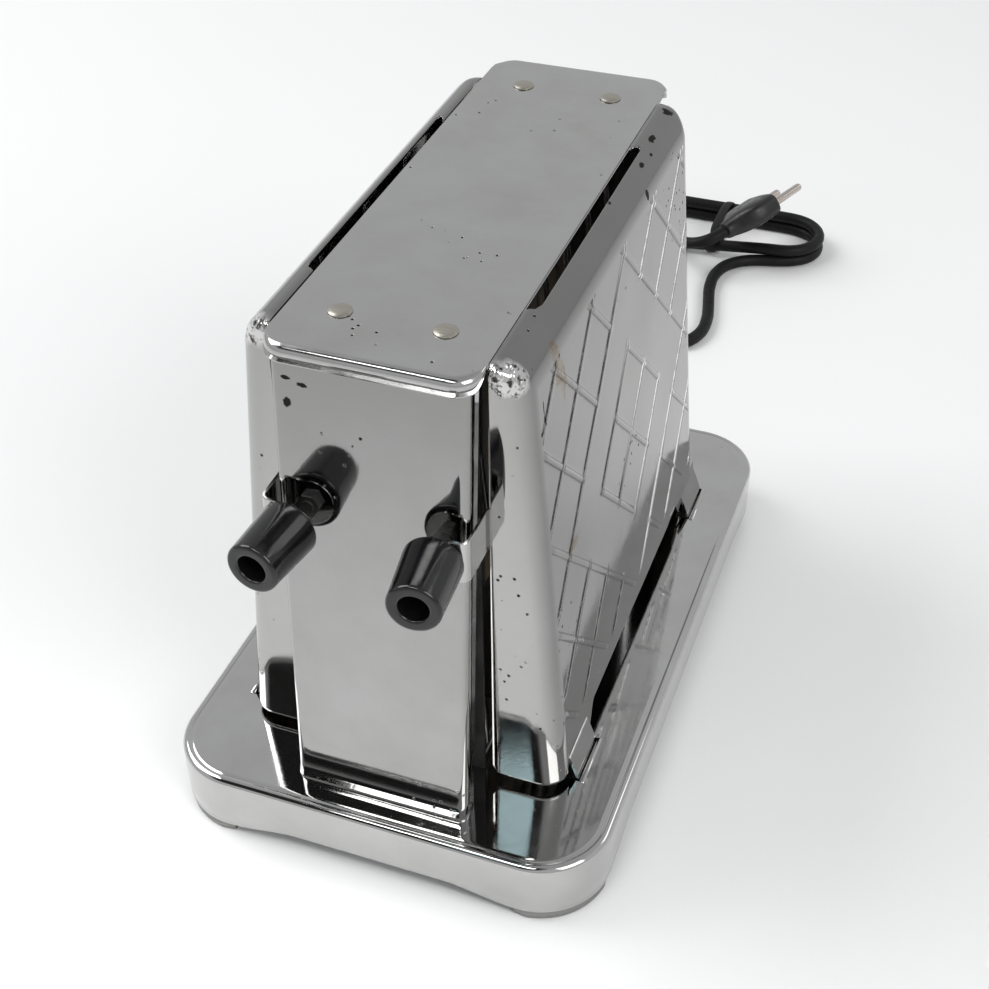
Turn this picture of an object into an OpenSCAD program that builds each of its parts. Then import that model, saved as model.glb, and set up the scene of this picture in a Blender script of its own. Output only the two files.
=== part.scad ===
// Two-slice turnover toaster: a chromed drop-door toaster on a pressed tray base.
// Millimetres, Z up, front (handle side) towards -Y, standing on Z = 0.

/* [Base tray] */
// Width of the base tray
base_w = 153.5; // [150:0.5:170]
// Length of the base tray
base_l = 246; // [240:1:260]
// Height of the base tray's top above the table
base_h = 26; // [24:1:32]
// Plan radius of the base tray's corners
base_r = 24.5; // [20:0.5:30]

/* [Body] */
// Overall height to the top plate
body_h = 192; // [180:1:210]
// Width of the top plate
top_w = 65; // [60:1:65]
// Length of the top plate
top_l = 201.5; // [198:0.5:206]
// Width of the front and rear end panels
panel_w = 60; // [50:1:60]
// Forward lean of an end panel from its top to its foot
panel_lean = 4.2; // [0:0.1:5]

/* [Doors] */
// Distance from the centre to a door's outer face at the base
door_foot_x = 57.2; // [55:0.1:57.5]
// Inward lean of a door's outer face
door_lean = 4.8; // [3:0.1:5]
// Distance from the centre to a door's front end
door_front = 91.5; // [90:0.5:92]
// Distance from the centre to a door's rear end
door_rear = 84.5; // [82.5:0.5:92]

/* [Handles] */
// Height of the handle knobs above the table
knob_z = 135; // [110:1:150]
// Length of a knob
knob_l = 21.5; // [20:0.5:26]
// Outward splay of a knob
knob_splay = 6; // [0:1:8]

/* [Hidden] */
$fn = 48;
eps = 0.01;
sheet = 0.9;            // thickness of the chromed sheet steel
plate_t = 1;            // thickness of the plain inner plates

// Base tray
base_top_t = sheet;
skirt_roll = 2.5;       // radius of the tray's rolled top edge
skirt_low = 4;          // height of the skirt's edge at the corners
arch_rise = 3.5;        // how much higher the skirt's edge is between the feet
arch_run = 26;          // length of each S-shaped end of an arch
foot_in = 0.8;          // how far a corner foot is set in from the skirt's face
foot_w = 5;
foot_h = 6.5;
foot_round = 1.2;

// Hinge: beads rolled on the outer edges of four slots, and hooks on the doors
hinge_x = 61.2;
hinge_z = base_h - 0.8;
bead_r = 1.2;
hook_r = 1.28;          // bore of a door hook, a running fit on the bead
hook_out = 2.1;
hook_end = 320;         // angle at which the hook's free end stops
slot_x0 = 54.5;
slot_x1 = hinge_x + 0.6;
slot_y0 = 62;
slot_y1 = 82.6;
tab_gap = 0.6;          // end play of a hinge tab in its slot

// Top plate and end panels
lip_drop = 5.5;
top_r = 8;
panel_r = 3;
front_return = 8;       // depth of the front end panel's side returns
rear_return = 17;
panel_top_z = body_h - plate_t - 0.2;
panel_top_y = 98;       // distance of an end panel's face from the centre at its top
panel_foot_y = panel_top_y + (panel_top_z - base_h) * tan(panel_lean);
tab_w = 8;
tab_x = 15;
tab_drop = 4;

// Doors
door_in_x = 33;         // inner edge of a door's flanges
door_low = base_h + 3.5;
door_round = 12;        // radius between a door's outer face and its top flange
door_chamfer = 5;      // corner cut between the outer face and an end flange
vent_front = 55.5;
vent_rear = 46;
vent_w = 3.4;
cut_half = 61;          // half the length of the cut-up lower edge
cut_top = base_h + 11;
cut_slope = 7;

// Handle brackets and knobs
strap_h = 15;
strap_t = 1;
strap_x = 31.5;         // inner face of the strap beside the end panel
strap_foot = 9.5;       // width of the strap's foot behind the door's front flange
strap_face_y = 109;     // front face of the strap at the knob
knob_x = 22.5;
knob_base_r = 9.2;
knob_tip_r = 8.3;
knob_edge = 1.2;
knob_hole_r = 4.5;
knob_hole_l = 13;
knob_y = strap_face_y;
screw_r = 2;

// Inner frame
frame_y = 87.9;         // outer face of a frame plate
frame_half_w = 28.8;
frame_top = body_h - plate_t;
flange_l = 20;
rivet_x = 16;
rivet_y = 78.7;
rivet_r = 3.7;
frame_screw_x = 18;
frame_screw_y = 81;

// Heating element and bread guards
card_half_l = 72;
card_t = 1;
card_z0 = 36;
card_z1 = 178;
turns = 11;
turn_pitch = 12;
ribbon_w = 1.6;
ribbon_t = 0.3;
post_w = 6;
post_y = 73;
guard_top = [13, 182];
guard_foot = [27, 30];
guard_wires = 8;
guard_pitch = 23;
guard_r = 1;
rail_r = 1.25;
shield_l = 56;
lead_x = 8;
lead_y = 62;

// Parts under the base
cover_z = 8;
cover_in = 7;           // how far the bottom cover is set in from the skirt's face
cover_t = 0.8;
post_xy = [52, 100];
cord_z = 14.5;

// Cord: centre lines in round numbers, laid on the table behind the toaster
cord_r = 3;
cord_sides = 8;
relief_l = 24;
relief_r = 5;
relief_tip_r = 3.8;
cord_exit_y = base_l / 2 + 1.5 + relief_l;
cord_route = [
    [0, cord_exit_y, cord_z], [-1, 157, 13.5], [-4, 168, 10.5], [-10, 180, 6.5], [-18, 191, 4],
    [-27, 203, 3], [-35, 217, 3], [-40, 232, 3], [-42, 247, 3], [-40, 262, 3], [-33, 275, 3],
    [-21, 281, 3], [-9, 275, 3], [-2, 262, 3], [-1, 247, 3], [-1, 232, 3], [3, 221, 3],
    [12, 216, 3], [21, 221, 3], [25, 233, 3], [24, 247, 3], [21, 260, 3], [18, 273, 3],
    [17, 286, 3], [20, 298, 3], [28, 306, 3], [38, 310, 3], [48, 312, 3]];
lead_route = [
    [-34, 312, 9], [-24, 310, 10], [-14, 304, 12], [-6, 296, 14.5], [1, 289.5, 17],
    [8, 287.5, 19.5], [14.5, 290.5, 22.2], [19, 296, 24]];
hank_mid = [6, 330];
hank_run = 78.3;        // straight length between the hank's folds
hank_fold = 18;         // fold radius to the outer turn's centre line
hank_h = 12;            // two layers of cord
plug_at = [19, 296, 24];
plug_yaw = 58;          // heading of the pins from +X
plug_pitch = 11;
plug_roll = -35;
plug_l = 28;
plug_w = 30;
plug_neck_w = 16;
plug_t = 13;
plug_nose_l = 9;
pin_gap = 19;
pin_r = 2;
pin_l = 19;

// The whole object is centred between its knob tips and the tray's rear face.
reach_front = knob_y + knob_l * cos(knob_splay) + knob_tip_r * sin(knob_splay);
reach_rear = base_l / 2;
centre_y = (reach_front - reach_rear) / 2;

chrome = [0.78, 0.78, 0.77];
steel = [0.6, 0.6, 0.58];
bakelite = [0.03, 0.03, 0.03];

module framed() translate([0, centre_y, 0]) children();
module on_side(side) mirror([side < 0 ? 1 : 0, 0, 0]) children();
module at_end(end) mirror([0, end > 0 ? 1 : 0, 0]) children();
module each_corner(x, y) for (i = [-1, 1], j = [-1, 1]) translate([i * x, j * y, 0]) children();
module along_y(length) rotate([90, 0, 0]) linear_extrude(length, center = true) children();
module along_x(length) rotate([90, 0, 90]) linear_extrude(length, center = true) children();

// Rounded rectangle as exact arcs and straight sides
module rounded(w, l, r) {
    square([w - 2 * r, l], center = true);
    square([w, l - 2 * r], center = true);
    each_corner(w / 2 - r, l / 2 - r) circle(r = r);
}

// ---- Base ----

// Edge cut between two feet: flat in the middle with an S-curve at each end
function arch_edge(half) = [
    for (i = [0:8]) [-half + arch_run * i / 8, skirt_low + arch_rise * (1 - cos(180 * i / 8)) / 2],
    for (i = [8:-1:0]) [half - arch_run * i / 8, skirt_low + arch_rise * (1 - cos(180 * i / 8)) / 2]];

module arch(half) polygon([[-half, -1], each arch_edge(half), [half, -1]]);

// Skirt profile, measured from the centre of a corner's plan radius
roll_x = base_r - 2 * skirt_roll;
function roll_arc(r, from, to) = [for (a = [from:(to - from) / 6:to + (to > from ? 1 : -1) * eps])
    [base_r - skirt_roll + r * cos(a), base_h - skirt_roll + r * sin(a)]];
module skirt_profile() polygon([
    [base_r - sheet, skirt_low], [base_r, skirt_low], each roll_arc(skirt_roll, 0, 90),
    [roll_x, base_h], [roll_x, base_h - sheet], each roll_arc(skirt_roll - sheet, 90, 0)]);

// The skirt's four straight walls and four corners, and the flat top sheet
module tray_shell() {
    flat_x = base_w / 2 - base_r;
    flat_y = base_l / 2 - base_r;
    for (i = [0, 1]) rotate([0, 0, 180 * i]) {
        translate([0, -flat_y, 0]) rotate([90, 0, 90]) mirror([1, 0, 0])
            linear_extrude(2 * flat_x, center = true) skirt_profile();
        translate([flat_x, 0, 0]) rotate([90, 0, 0])
            linear_extrude(2 * flat_y, center = true) skirt_profile();
    }
    for (i = [0, 1], j = [0, 1]) mirror([i, 0, 0]) mirror([0, j, 0])
        translate([flat_x, flat_y, 0]) rotate_extrude(angle = 90) skirt_profile();
    translate([0, 0, base_h - base_top_t]) linear_extrude(base_top_t)
        rounded(base_w - 4 * skirt_roll, base_l - 4 * skirt_roll, roll_x);
}

module base_tray() color(chrome) {
    difference() {
        tray_shell();
        along_y(base_l + 2) arch(base_w / 2 - base_r - 0.5);
        along_x(base_w + 2) arch(base_l / 2 - base_r - 0.5);
        for (side = [-1, 1], end = [-1, 1]) on_side(side)
            translate([slot_x0, end > 0 ? slot_y0 : -slot_y1, base_h - 3])
                cube([slot_x1 - slot_x0, slot_y1 - slot_y0, 4]);
        for (x = [-lead_x, lead_x]) translate([x, lead_y, base_h - 3]) cylinder(r = 2.5, h = 4);
        each_corner(frame_screw_x, frame_screw_y) translate([0, 0, base_h - 3])
            cylinder(r = 1.55, h = 4);
        for (end = [-1, 1], x = [-tab_x, tab_x]) at_end(end)
            translate([x - tab_w / 2 - 0.2, -panel_foot_y + 0.8, base_h - 3])
                cube([tab_w + 0.4, 1.4, 4]);
        translate([0, base_l / 2 + 1, cord_z]) rotate([90, 0, 0]) cylinder(r = 4.5, h = 4);
    }
    for (side = [-1, 1], end = [-1, 1]) on_side(side)
        translate([hinge_x, end * (slot_y0 + slot_y1) / 2, hinge_z]) rotate([90, 0, 0])
            cylinder(r = bead_r, h = slot_y1 - slot_y0 + 0.4, center = true);
}

// Corner foot: a curved pad under the skirt's corner, held against its inner face
module corner_foot() rotate_extrude(angle = 90) {
    out = base_r - foot_in;
    polygon([[out - foot_w, 0], [out - foot_round, 0],
        for (a = [-60:30:0]) [out - foot_round + foot_round * cos(a), foot_round * (1 + sin(a))],
        [out, skirt_low - 0.1], [base_r - sheet - 0.1, skirt_low],
        [base_r - sheet - 0.1, foot_h], [out - foot_w, foot_h]]);
}

module corner_feet() color([0.35, 0.35, 0.35])
    for (i = [0, 1], j = [0, 1]) mirror([i, 0, 0]) mirror([0, j, 0])
        translate([base_w / 2 - base_r, base_l / 2 - base_r, 0]) corner_foot();

module bottom_cover() color(steel) difference() {
    translate([0, 0, cover_z]) linear_extrude(cover_t)
        rounded(base_w - 2 * cover_in, base_l - 2 * cover_in, base_r - cover_in);
    each_corner(post_xy[0], post_xy[1]) translate([0, 0, cover_z - 1]) cylinder(r = 1.7, h = 3);
    for (i = [-2:2], j = [-3:3]) translate([i * 22, j * 22, cover_z - 1]) cylinder(r = 3, h = 3);
}

module cover_posts() color(steel)
    each_corner(post_xy[0], post_xy[1]) translate([0, 0, cover_z + cover_t]) difference() {
        cylinder(r = 4, h = base_h - base_top_t - cover_z - cover_t);
        translate([0, 0, -1]) cylinder(r = 1.5, h = 13);
    }

module pan_screw(r, head_r, head_h, shank) {
    cylinder(r = r, h = shank);
    translate([0, 0, -head_h]) difference() {
        cylinder(r = head_r, h = head_h);
        translate([-head_r, -0.4, -eps]) cube([2 * head_r, 0.8, head_h / 2]);
    }
}

module cover_screws() color(steel)
    each_corner(post_xy[0], post_xy[1]) translate([0, 0, cover_z])
        pan_screw(1.5, 3.2, 1.8, 9);

// ---- Shell ----

// Channel-shaped end panel, leaning forward towards its foot, with two foot tabs
module end_panel(end) color(chrome) at_end(end) {
    intersection() {
        translate([0, -panel_foot_y, base_h]) rotate([-panel_lean, 0, 0]) translate([0, 0, -5])
            linear_extrude(body_h) panel_section(end < 0 ? front_return : rear_return);
        translate([-panel_w, -150, base_h]) cube([2 * panel_w, 100, panel_top_z - base_h]);
    }
    for (x = [-tab_x, tab_x]) translate([x - tab_w / 2, -panel_foot_y + 1, base_h - tab_drop])
        cube([tab_w, sheet, tab_drop + 1]);
}

module panel_section(depth) difference() {
    panel_outline(panel_w, panel_r);
    translate([0, sheet, 0]) panel_outline(panel_w - 2 * sheet, panel_r - sheet);
    translate([-panel_w, depth, 0]) square([2 * panel_w, 50]);
}

module panel_outline(w, r) {
    translate([-w / 2 + r, 0]) square([w - 2 * r, r]);
    translate([-w / 2, r]) square([w, 20]);
    for (i = [-1, 1]) translate([i * (w / 2 - r), r]) circle(r = r);
}

module front_end_panel() end_panel(-1);
module rear_end_panel() end_panel(1);

module top_plate() color(chrome) difference() {
    translate([0, 0, body_h - lip_drop]) linear_extrude(lip_drop) rounded(top_w, top_l, top_r);
    translate([0, 0, body_h - lip_drop - 1]) linear_extrude(lip_drop + 1 - plate_t)
        rounded(top_w - 2 * sheet, top_l - 2 * sheet, top_r - sheet);
    translate([-top_w, -top_l / 2 + top_r, body_h - lip_drop - 1])
        cube([2 * top_w, top_l - 2 * top_r, lip_drop + 1 - plate_t]);
    each_corner(rivet_x, rivet_y) translate([0, 0, body_h - 3]) cylinder(r = 1.65, h = 4);
}

// Low domed rivet head with its shank
module rivet() {
    translate([0, 0, -3.2]) cylinder(r = 1.65, h = 3.2);
    rotate_extrude() polygon([[0, 0], [rivet_r, 0],
        for (a = [0:18:90]) [rivet_r - 1.6 + 1.6 * cos(a), 0.25 + 0.8 * sin(a)], [0, 1.05]]);
}

module top_rivets() color([0.72, 0.69, 0.6])
    each_corner(rivet_x, rivet_y) translate([0, 0, body_h]) rivet();

// ---- Inner frame and element ----

module frame_plate(end) color(steel) at_end(end) difference() {
    union() {
        translate([-frame_half_w, -frame_y, base_h])
            cube([2 * frame_half_w, plate_t, frame_top - base_h]);
        translate([-frame_half_w, -frame_y, frame_top - plate_t])
            cube([2 * frame_half_w, flange_l, plate_t]);
        translate([-frame_half_w, -frame_y, base_h]) cube([2 * frame_half_w, 12, plate_t]);
    }
    for (x = [-rivet_x, rivet_x]) translate([x, -rivet_y, frame_top - 3])
        cylinder(r = 1.65, h = 4);
    for (x = [-frame_screw_x, frame_screw_x]) translate([x, -frame_screw_y, base_h - 1])
        cylinder(r = 1.55, h = 4);
}

module front_frame_plate() frame_plate(-1);
module rear_frame_plate() frame_plate(1);

module frame_screws() color(steel)
    each_corner(frame_screw_x, frame_screw_y) translate([0, 0, base_h + plate_t])
        mirror([0, 0, 1]) pan_screw(1.5, 2.9, 1.6, 6);

module floor_shield() color(steel)
    translate([-24, -shield_l, base_h]) cube([48, 2 * shield_l, 0.6]);

module element_post() translate([0, 0, base_h]) linear_extrude(frame_top - plate_t - base_h)
    difference() {
        translate([-post_w / 2, -post_w / 2]) square(post_w);
        translate([-card_t / 2 - 0.05, -post_w]) square([card_t + 0.1, post_w + 1]);
    }

module element_posts() color([0.8, 0.76, 0.68])
    for (end = [-1, 1]) at_end(-end) translate([0, post_y, 0]) element_post();

module mica_card() color([0.75, 0.66, 0.5])
    translate([-card_t / 2, -card_half_l, card_z0])
        cube([card_t, 2 * card_half_l, card_z1 - card_z0]);

// One ribbon turn: a flat loop over both faces of the card
module ribbon_turn() difference() {
    translate([-card_t / 2 - ribbon_t, -ribbon_w / 2, card_z0 - ribbon_t])
        cube([card_t + 2 * ribbon_t, ribbon_w, card_z1 - card_z0 + 2 * ribbon_t]);
    translate([-card_t / 2, -ribbon_w, card_z0])
        cube([card_t, 2 * ribbon_w, card_z1 - card_z0]);
}

module heating_ribbon() color([0.45, 0.42, 0.4]) {
    for (i = [0:turns - 1]) translate([0, (i - (turns - 1) / 2) * turn_pitch, 0]) ribbon_turn();
    for (i = [0:turns - 2])
        translate([card_t / 2, (i - (turns - 1) / 2) * turn_pitch, i % 2 ? card_z0 + 1 : card_z1 - 3])
            cube([ribbon_t, turn_pitch, 2]);
}

module guard(side) color(steel) on_side(side) {
    tilt = atan((guard_foot[0] - guard_top[0]) / (guard_top[1] - guard_foot[1]));
    length = norm(guard_foot - guard_top);
    for (i = [0:guard_wires - 1])
        translate([guard_foot[0], (i - (guard_wires - 1) / 2) * guard_pitch, guard_foot[1]])
            rotate([0, -tilt, 0]) cylinder(r = guard_r, h = length);
    for (p = [guard_top, guard_foot]) translate([p[0], 0, p[1]]) rotate([90, 0, 0])
        cylinder(r = rail_r, h = 2 * (frame_y - plate_t), center = true);
}

module left_bread_guard() guard(-1);
module right_bread_guard() guard(1);

module terminal_block() color([0.9, 0.88, 0.82]) difference() {
    translate([-20, 84, 13]) cube([40, 14, base_h - base_top_t - 13]);
    for (x = [-lead_x, lead_x]) translate([x, 91, 12]) cylinder(r = 1.5, h = 8);
}

module terminal_screws() color([0.78, 0.62, 0.3])
    for (x = [-lead_x, lead_x]) translate([x, 91, 13]) pan_screw(1.5, 2.6, 1.5, 6);

module rod(a, b, r) translate(a) rotate([0, acos((b - a)[2] / norm(b - a)),
    atan2((b - a)[1], (b - a)[0])]) cylinder(r = r, h = norm(b - a));

// Sleeved leads from the terminal block up through the base to the ribbon's ends
module element_leads() color([0.85, 0.82, 0.72])
    for (side = [-1, 1]) on_side(side) {
        path = [[lead_x, 84, 18], [lead_x, lead_y, 18], [lead_x, lead_y, 46],
            [card_t / 2 + ribbon_t, lead_y - 2, 46]];
        for (i = [0:2]) rod(path[i], path[i + 1], 1.2);
        for (i = [1:2]) translate(path[i]) sphere(r = 1.2);
    }

// ---- Doors ----

door_tan = tan(door_lean);
function door_x(z, inset) = door_foot_x - inset / cos(door_lean) - (z - base_h) * door_tan;

// Cross-section of a door: sloping outer face, rounded top edge and top flange
function door_section(inset, inner_x, low) =
    let (r = door_round - inset,
         cz = body_h - door_round,
         cx = door_x(cz, 0) - door_round / cos(door_lean),
         top = acos(max((inner_x - cx) / r, 0)))
    [[inner_x, low], [door_x(low, inset), low],
     for (i = [0:8]) let (a = door_lean + (top - door_lean) * i / 8)
         [cx + r * cos(a), cz + r * sin(a)],
     if (inner_x < cx) [inner_x, body_h - inset]];

module door_block(inset, inner_x, low) difference() {
    ends = [-door_front + inset, door_rear - inset];
    translate([0, (ends[0] + ends[1]) / 2, 0]) along_y(ends[1] - ends[0])
        polygon(door_section(inset, inner_x, low));
    for (y = ends) translate([door_x(base_h, inset), y, base_h])
        rotate([0, -door_lean, 0]) rotate([0, 0, 45])
            cube([door_chamfer * sqrt(2), door_chamfer * sqrt(2), 400], center = true);
}

module hinge_tab() {
    tab_l = slot_y1 - slot_y0 - 2 * tab_gap;
    out_x = door_x(base_h + 8, 0);
    along_y(tab_l) {
        polygon([[hinge_x - hook_out, hinge_z], [hinge_x - hook_r, hinge_z],
            [hinge_x - hook_r - 0.05, hinge_z + 2], [out_x, base_h + 8],
            [door_x(base_h + 12, 0), base_h + 12], [door_x(base_h + 12, sheet), base_h + 12],
            [out_x - sheet, base_h + 8], [hinge_x - hook_out - 0.1, hinge_z + 2]]);
        translate([hinge_x, hinge_z]) difference() {
            circle(r = hook_out);
            circle(r = hook_r);
            polygon([[0, 0], [5 * cos(hook_end), 5 * sin(hook_end)], [5, 0], [5, 5],
                [-5, 5], [-5, 0]]);
        }
    }
}

module door(side) color(chrome) on_side(side) {
    difference() {
        door_block(0, door_in_x, door_low);
        door_block(sheet, 0, 0);
        translate([door_in_x - 1, -vent_front, body_h - 3])
            cube([vent_w + 1, vent_front + vent_rear, 5]);
        along_x(300) polygon([[-cut_half, 0], [-cut_half, door_low + 1],
            [-cut_half + cut_slope, cut_top], [cut_half - cut_slope, cut_top],
            [cut_half, door_low + 1], [cut_half, 0]]);
    }
    for (end = [-1, 1]) translate([0, end * (slot_y0 + slot_y1) / 2, 0]) hinge_tab();
}

module left_door() door(-1);
module right_door() door(1);

// ---- Handles ----

strap_bend_y = -(knob_y - (strap_x - knob_x) * sin(knob_splay));

// Point of the right knob's axis where it leaves the strap
module at_knob() translate([knob_x, -knob_y, knob_z]) rotate([0, 0, knob_splay])
    rotate([90, 0, 0]) children();

module handle_bracket(side) color(chrome) on_side(side) {
    foot_y = -door_front + sheet;
    translate([strap_x, strap_bend_y + 0.4, knob_z - strap_h / 2])
        cube([strap_t, foot_y + strap_t - strap_bend_y - 0.4, strap_h]);
    translate([strap_x, foot_y, knob_z - strap_h / 2]) cube([strap_foot, strap_t, strap_h]);
    difference() {
        at_knob() translate([0, 0, -strap_t]) linear_extrude(strap_t) {
            translate([0, -strap_h / 2]) square([(strap_x - knob_x) / cos(knob_splay) + 1, strap_h]);
            circle(r = strap_h / 2);
        }
        at_knob() translate([0, 0, -5]) cylinder(r = screw_r + 0.15, h = 10);
    }
}

module left_handle_bracket() handle_bracket(-1);
module right_handle_bracket() handle_bracket(1);

module knob(side) color(bakelite) on_side(side) at_knob() difference() {
    rotate_extrude() polygon([
        [0, 0], [knob_base_r - knob_edge, 0],
        for (a = [-60:30:0]) [knob_base_r - knob_edge + knob_edge * cos(a),
            knob_edge + knob_edge * sin(a)],
        for (a = [0:30:90]) [knob_tip_r - knob_edge + knob_edge * cos(a),
            knob_l - knob_edge + knob_edge * sin(a)],
        [0, knob_l]]);
    translate([0, 0, -1]) cylinder(r = screw_r + 0.15, h = knob_l);
    translate([0, 0, knob_l - knob_hole_l]) cylinder(r = knob_hole_r, h = knob_hole_l + 1);
}

module left_knob() knob(-1);
module right_knob() knob(1);

module knob_screw(side) color(steel) on_side(side) at_knob()
    translate([0, 0, knob_l - knob_hole_l]) mirror([0, 0, 1])
        pan_screw(screw_r, 3.8, 2.2, knob_l - knob_hole_l + strap_t + 3);

module left_knob_screw() knob_screw(-1);
module right_knob_screw() knob_screw(1);

module knob_nut(side) color(steel) on_side(side) at_knob() translate([0, 0, -strap_t - 2.4])
    difference() {
        cylinder(r = 3.9, h = 2.4, $fn = 6);
        translate([0, 0, -1]) cylinder(r = screw_r, h = 5);
    }

module left_knob_nut() knob_nut(-1);
module right_knob_nut() knob_nut(1);

// ---- Cord ----

module cord_clamp() color(steel) translate([0, 106, 0]) difference() {
    translate([-9, -4, cord_z - 4.2]) cube([18, 8, base_h - base_top_t - cord_z + 4.2]);
    translate([0, 5, cord_z]) rotate([90, 0, 0]) cylinder(r = cord_r, h = 10);
}

module inner_cord() color(bakelite) translate([0, base_l / 2 + 1.5, cord_z]) rotate([90, 0, 0])
    cylinder(r = cord_r, h = base_l / 2 + 1.5 - 98);

// Rubber bush with a flange on each side of the tray's rear skirt
module cord_grommet() color(bakelite) translate([0, base_l / 2, cord_z]) rotate([90, 0, 0])
    difference() {
        union() {
            translate([0, 0, -1.5]) cylinder(r = 6.5, h = 1.5);
            translate([0, 0, -0.5]) cylinder(r = 4.5, h = sheet + 1);
            translate([0, 0, sheet]) cylinder(r = 6, h = 1.4);
        }
        translate([0, 0, -2]) cylinder(r = cord_r, h = 6);
    }

module cord_relief() color(bakelite) translate([0, base_l / 2 + 1.5, cord_z]) rotate([-90, 0, 0])
    rotate_extrude() polygon([[0, 0], [relief_r, 0], [relief_tip_r, relief_l], [0, relief_l]]);

// Tube of flat-sided rings, one ring at each point of the route
function heading(p, i) = let (d = p[min(i + 1, len(p) - 1)] - p[max(i - 1, 0)]) d / norm(d);
function ring_at(p, i, r) =
    let (t = heading(p, i), s = cross(t, [0, 0, 1]), u = s / norm(s), v = cross(u, t))
    [for (k = [0:cord_sides - 1]) let (a = 360 * (k + 0.5) / cord_sides)
        p[i] + r * (cos(a) * u + sin(a) * v)];

module tube(p, r) {
    n = len(p);
    m = cord_sides;
    polyhedron(
        points = [for (i = [0:n - 1]) each ring_at(p, i, r)],
        faces = [
            [for (k = [0:m - 1]) k],
            for (i = [0:n - 2], k = [0:m - 1])
                [i * m + k, (i + 1) * m + k, (i + 1) * m + (k + 1) % m, i * m + (k + 1) % m],
            [for (k = [m - 1:-1:0]) (n - 1) * m + k]]);
}

module mains_cord() color(bakelite) tube(cord_route, cord_r);
module plug_lead() color(bakelite) tube(lead_route, cord_r);

module cord_hank() color(bakelite) translate([hank_mid[0], hank_mid[1], 0]) linear_extrude(hank_h) {
    square([hank_run, 2 * (hank_fold + cord_r)], center = true);
    for (i = [-1, 1]) translate([i * hank_run / 2, 0]) circle(r = hank_fold + cord_r);
}

// Plug frame: +Z along the pins, X across them
module at_plug() translate(plug_at) rotate([0, 0, plug_yaw]) rotate([0, -plug_pitch, 0])
    rotate([plug_roll, 0, 0]) rotate([0, 90, 0]) rotate([0, 0, 90]) children();

module plug_body() color(bakelite) at_plug() intersection() {
    rotate([90, 0, 0]) linear_extrude(plug_t, center = true) polygon([
        [-plug_neck_w / 2, 0], [plug_neck_w / 2, 0], [plug_w / 2, plug_l - plug_nose_l],
        [plug_w / 2 - 1, plug_l], [-plug_w / 2 + 1, plug_l], [-plug_w / 2, plug_l - plug_nose_l]]);
    rotate([90, 0, 90]) linear_extrude(2 * plug_w, center = true) polygon([
        [-5, 0], [5, 0], [plug_t / 2, 6], [plug_t / 2, plug_l - 1], [plug_t / 2 - 1, plug_l],
        [-plug_t / 2 + 1, plug_l], [-plug_t / 2, plug_l - 1], [-plug_t / 2, 6]]);
}

module plug_pins() color([0.75, 0.75, 0.72]) at_plug() for (i = [-1, 1])
    translate([i * pin_gap / 2, 0, plug_l]) {
        cylinder(r = pin_r, h = pin_l - pin_r);
        translate([0, 0, pin_l - pin_r]) sphere(r = pin_r);
    }

framed() base_tray();
framed() corner_feet();
framed() bottom_cover();
framed() cover_posts();
framed() cover_screws();
framed() front_end_panel();
framed() rear_end_panel();
framed() top_plate();
framed() top_rivets();
framed() front_frame_plate();
framed() rear_frame_plate();
framed() frame_screws();
framed() floor_shield();
framed() element_posts();
framed() mica_card();
framed() heating_ribbon();
framed() left_bread_guard();
framed() right_bread_guard();
framed() terminal_block();
framed() terminal_screws();
framed() element_leads();
framed() left_door();
framed() right_door();
framed() left_handle_bracket();
framed() right_handle_bracket();
framed() left_knob();
framed() right_knob();
framed() left_knob_screw();
framed() right_knob_screw();
framed() left_knob_nut();
framed() right_knob_nut();
framed() cord_clamp();
framed() inner_cord();
framed() cord_grommet();
framed() cord_relief();
framed() mains_cord();
framed() cord_hank();
framed() plug_lead();
framed() plug_body();
framed() plug_pins();
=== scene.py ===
"""Looks of a chromed turnover toaster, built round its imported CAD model.

Shapes are written in millimetres from the centre of the base tray (X right, Y to the rear,
Z up from the table) and are moved into the row frame, in metres, as they are made.
"""
import math

import bmesh
import bpy
import numpy as np
from mathutils import Matrix, Vector, noise


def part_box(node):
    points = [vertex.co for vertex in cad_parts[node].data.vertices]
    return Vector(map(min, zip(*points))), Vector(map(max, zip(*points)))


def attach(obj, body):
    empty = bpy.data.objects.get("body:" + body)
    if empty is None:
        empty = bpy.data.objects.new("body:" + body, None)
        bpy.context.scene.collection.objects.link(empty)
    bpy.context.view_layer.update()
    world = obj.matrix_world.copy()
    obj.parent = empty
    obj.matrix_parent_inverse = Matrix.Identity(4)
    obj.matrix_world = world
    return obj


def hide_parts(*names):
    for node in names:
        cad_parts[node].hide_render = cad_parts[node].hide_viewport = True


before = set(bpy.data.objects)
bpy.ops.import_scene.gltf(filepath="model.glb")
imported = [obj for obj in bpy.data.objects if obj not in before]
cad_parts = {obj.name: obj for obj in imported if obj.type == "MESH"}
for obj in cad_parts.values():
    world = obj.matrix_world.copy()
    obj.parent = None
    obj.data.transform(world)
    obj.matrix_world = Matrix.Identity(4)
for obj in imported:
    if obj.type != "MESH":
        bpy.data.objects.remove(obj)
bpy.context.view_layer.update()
MM = 0.001
tray_low, tray_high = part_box("base_tray")
CENTRE = Vector((0.0, (tray_low[1] + tray_high[1]) / 2, 0.0))

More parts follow.
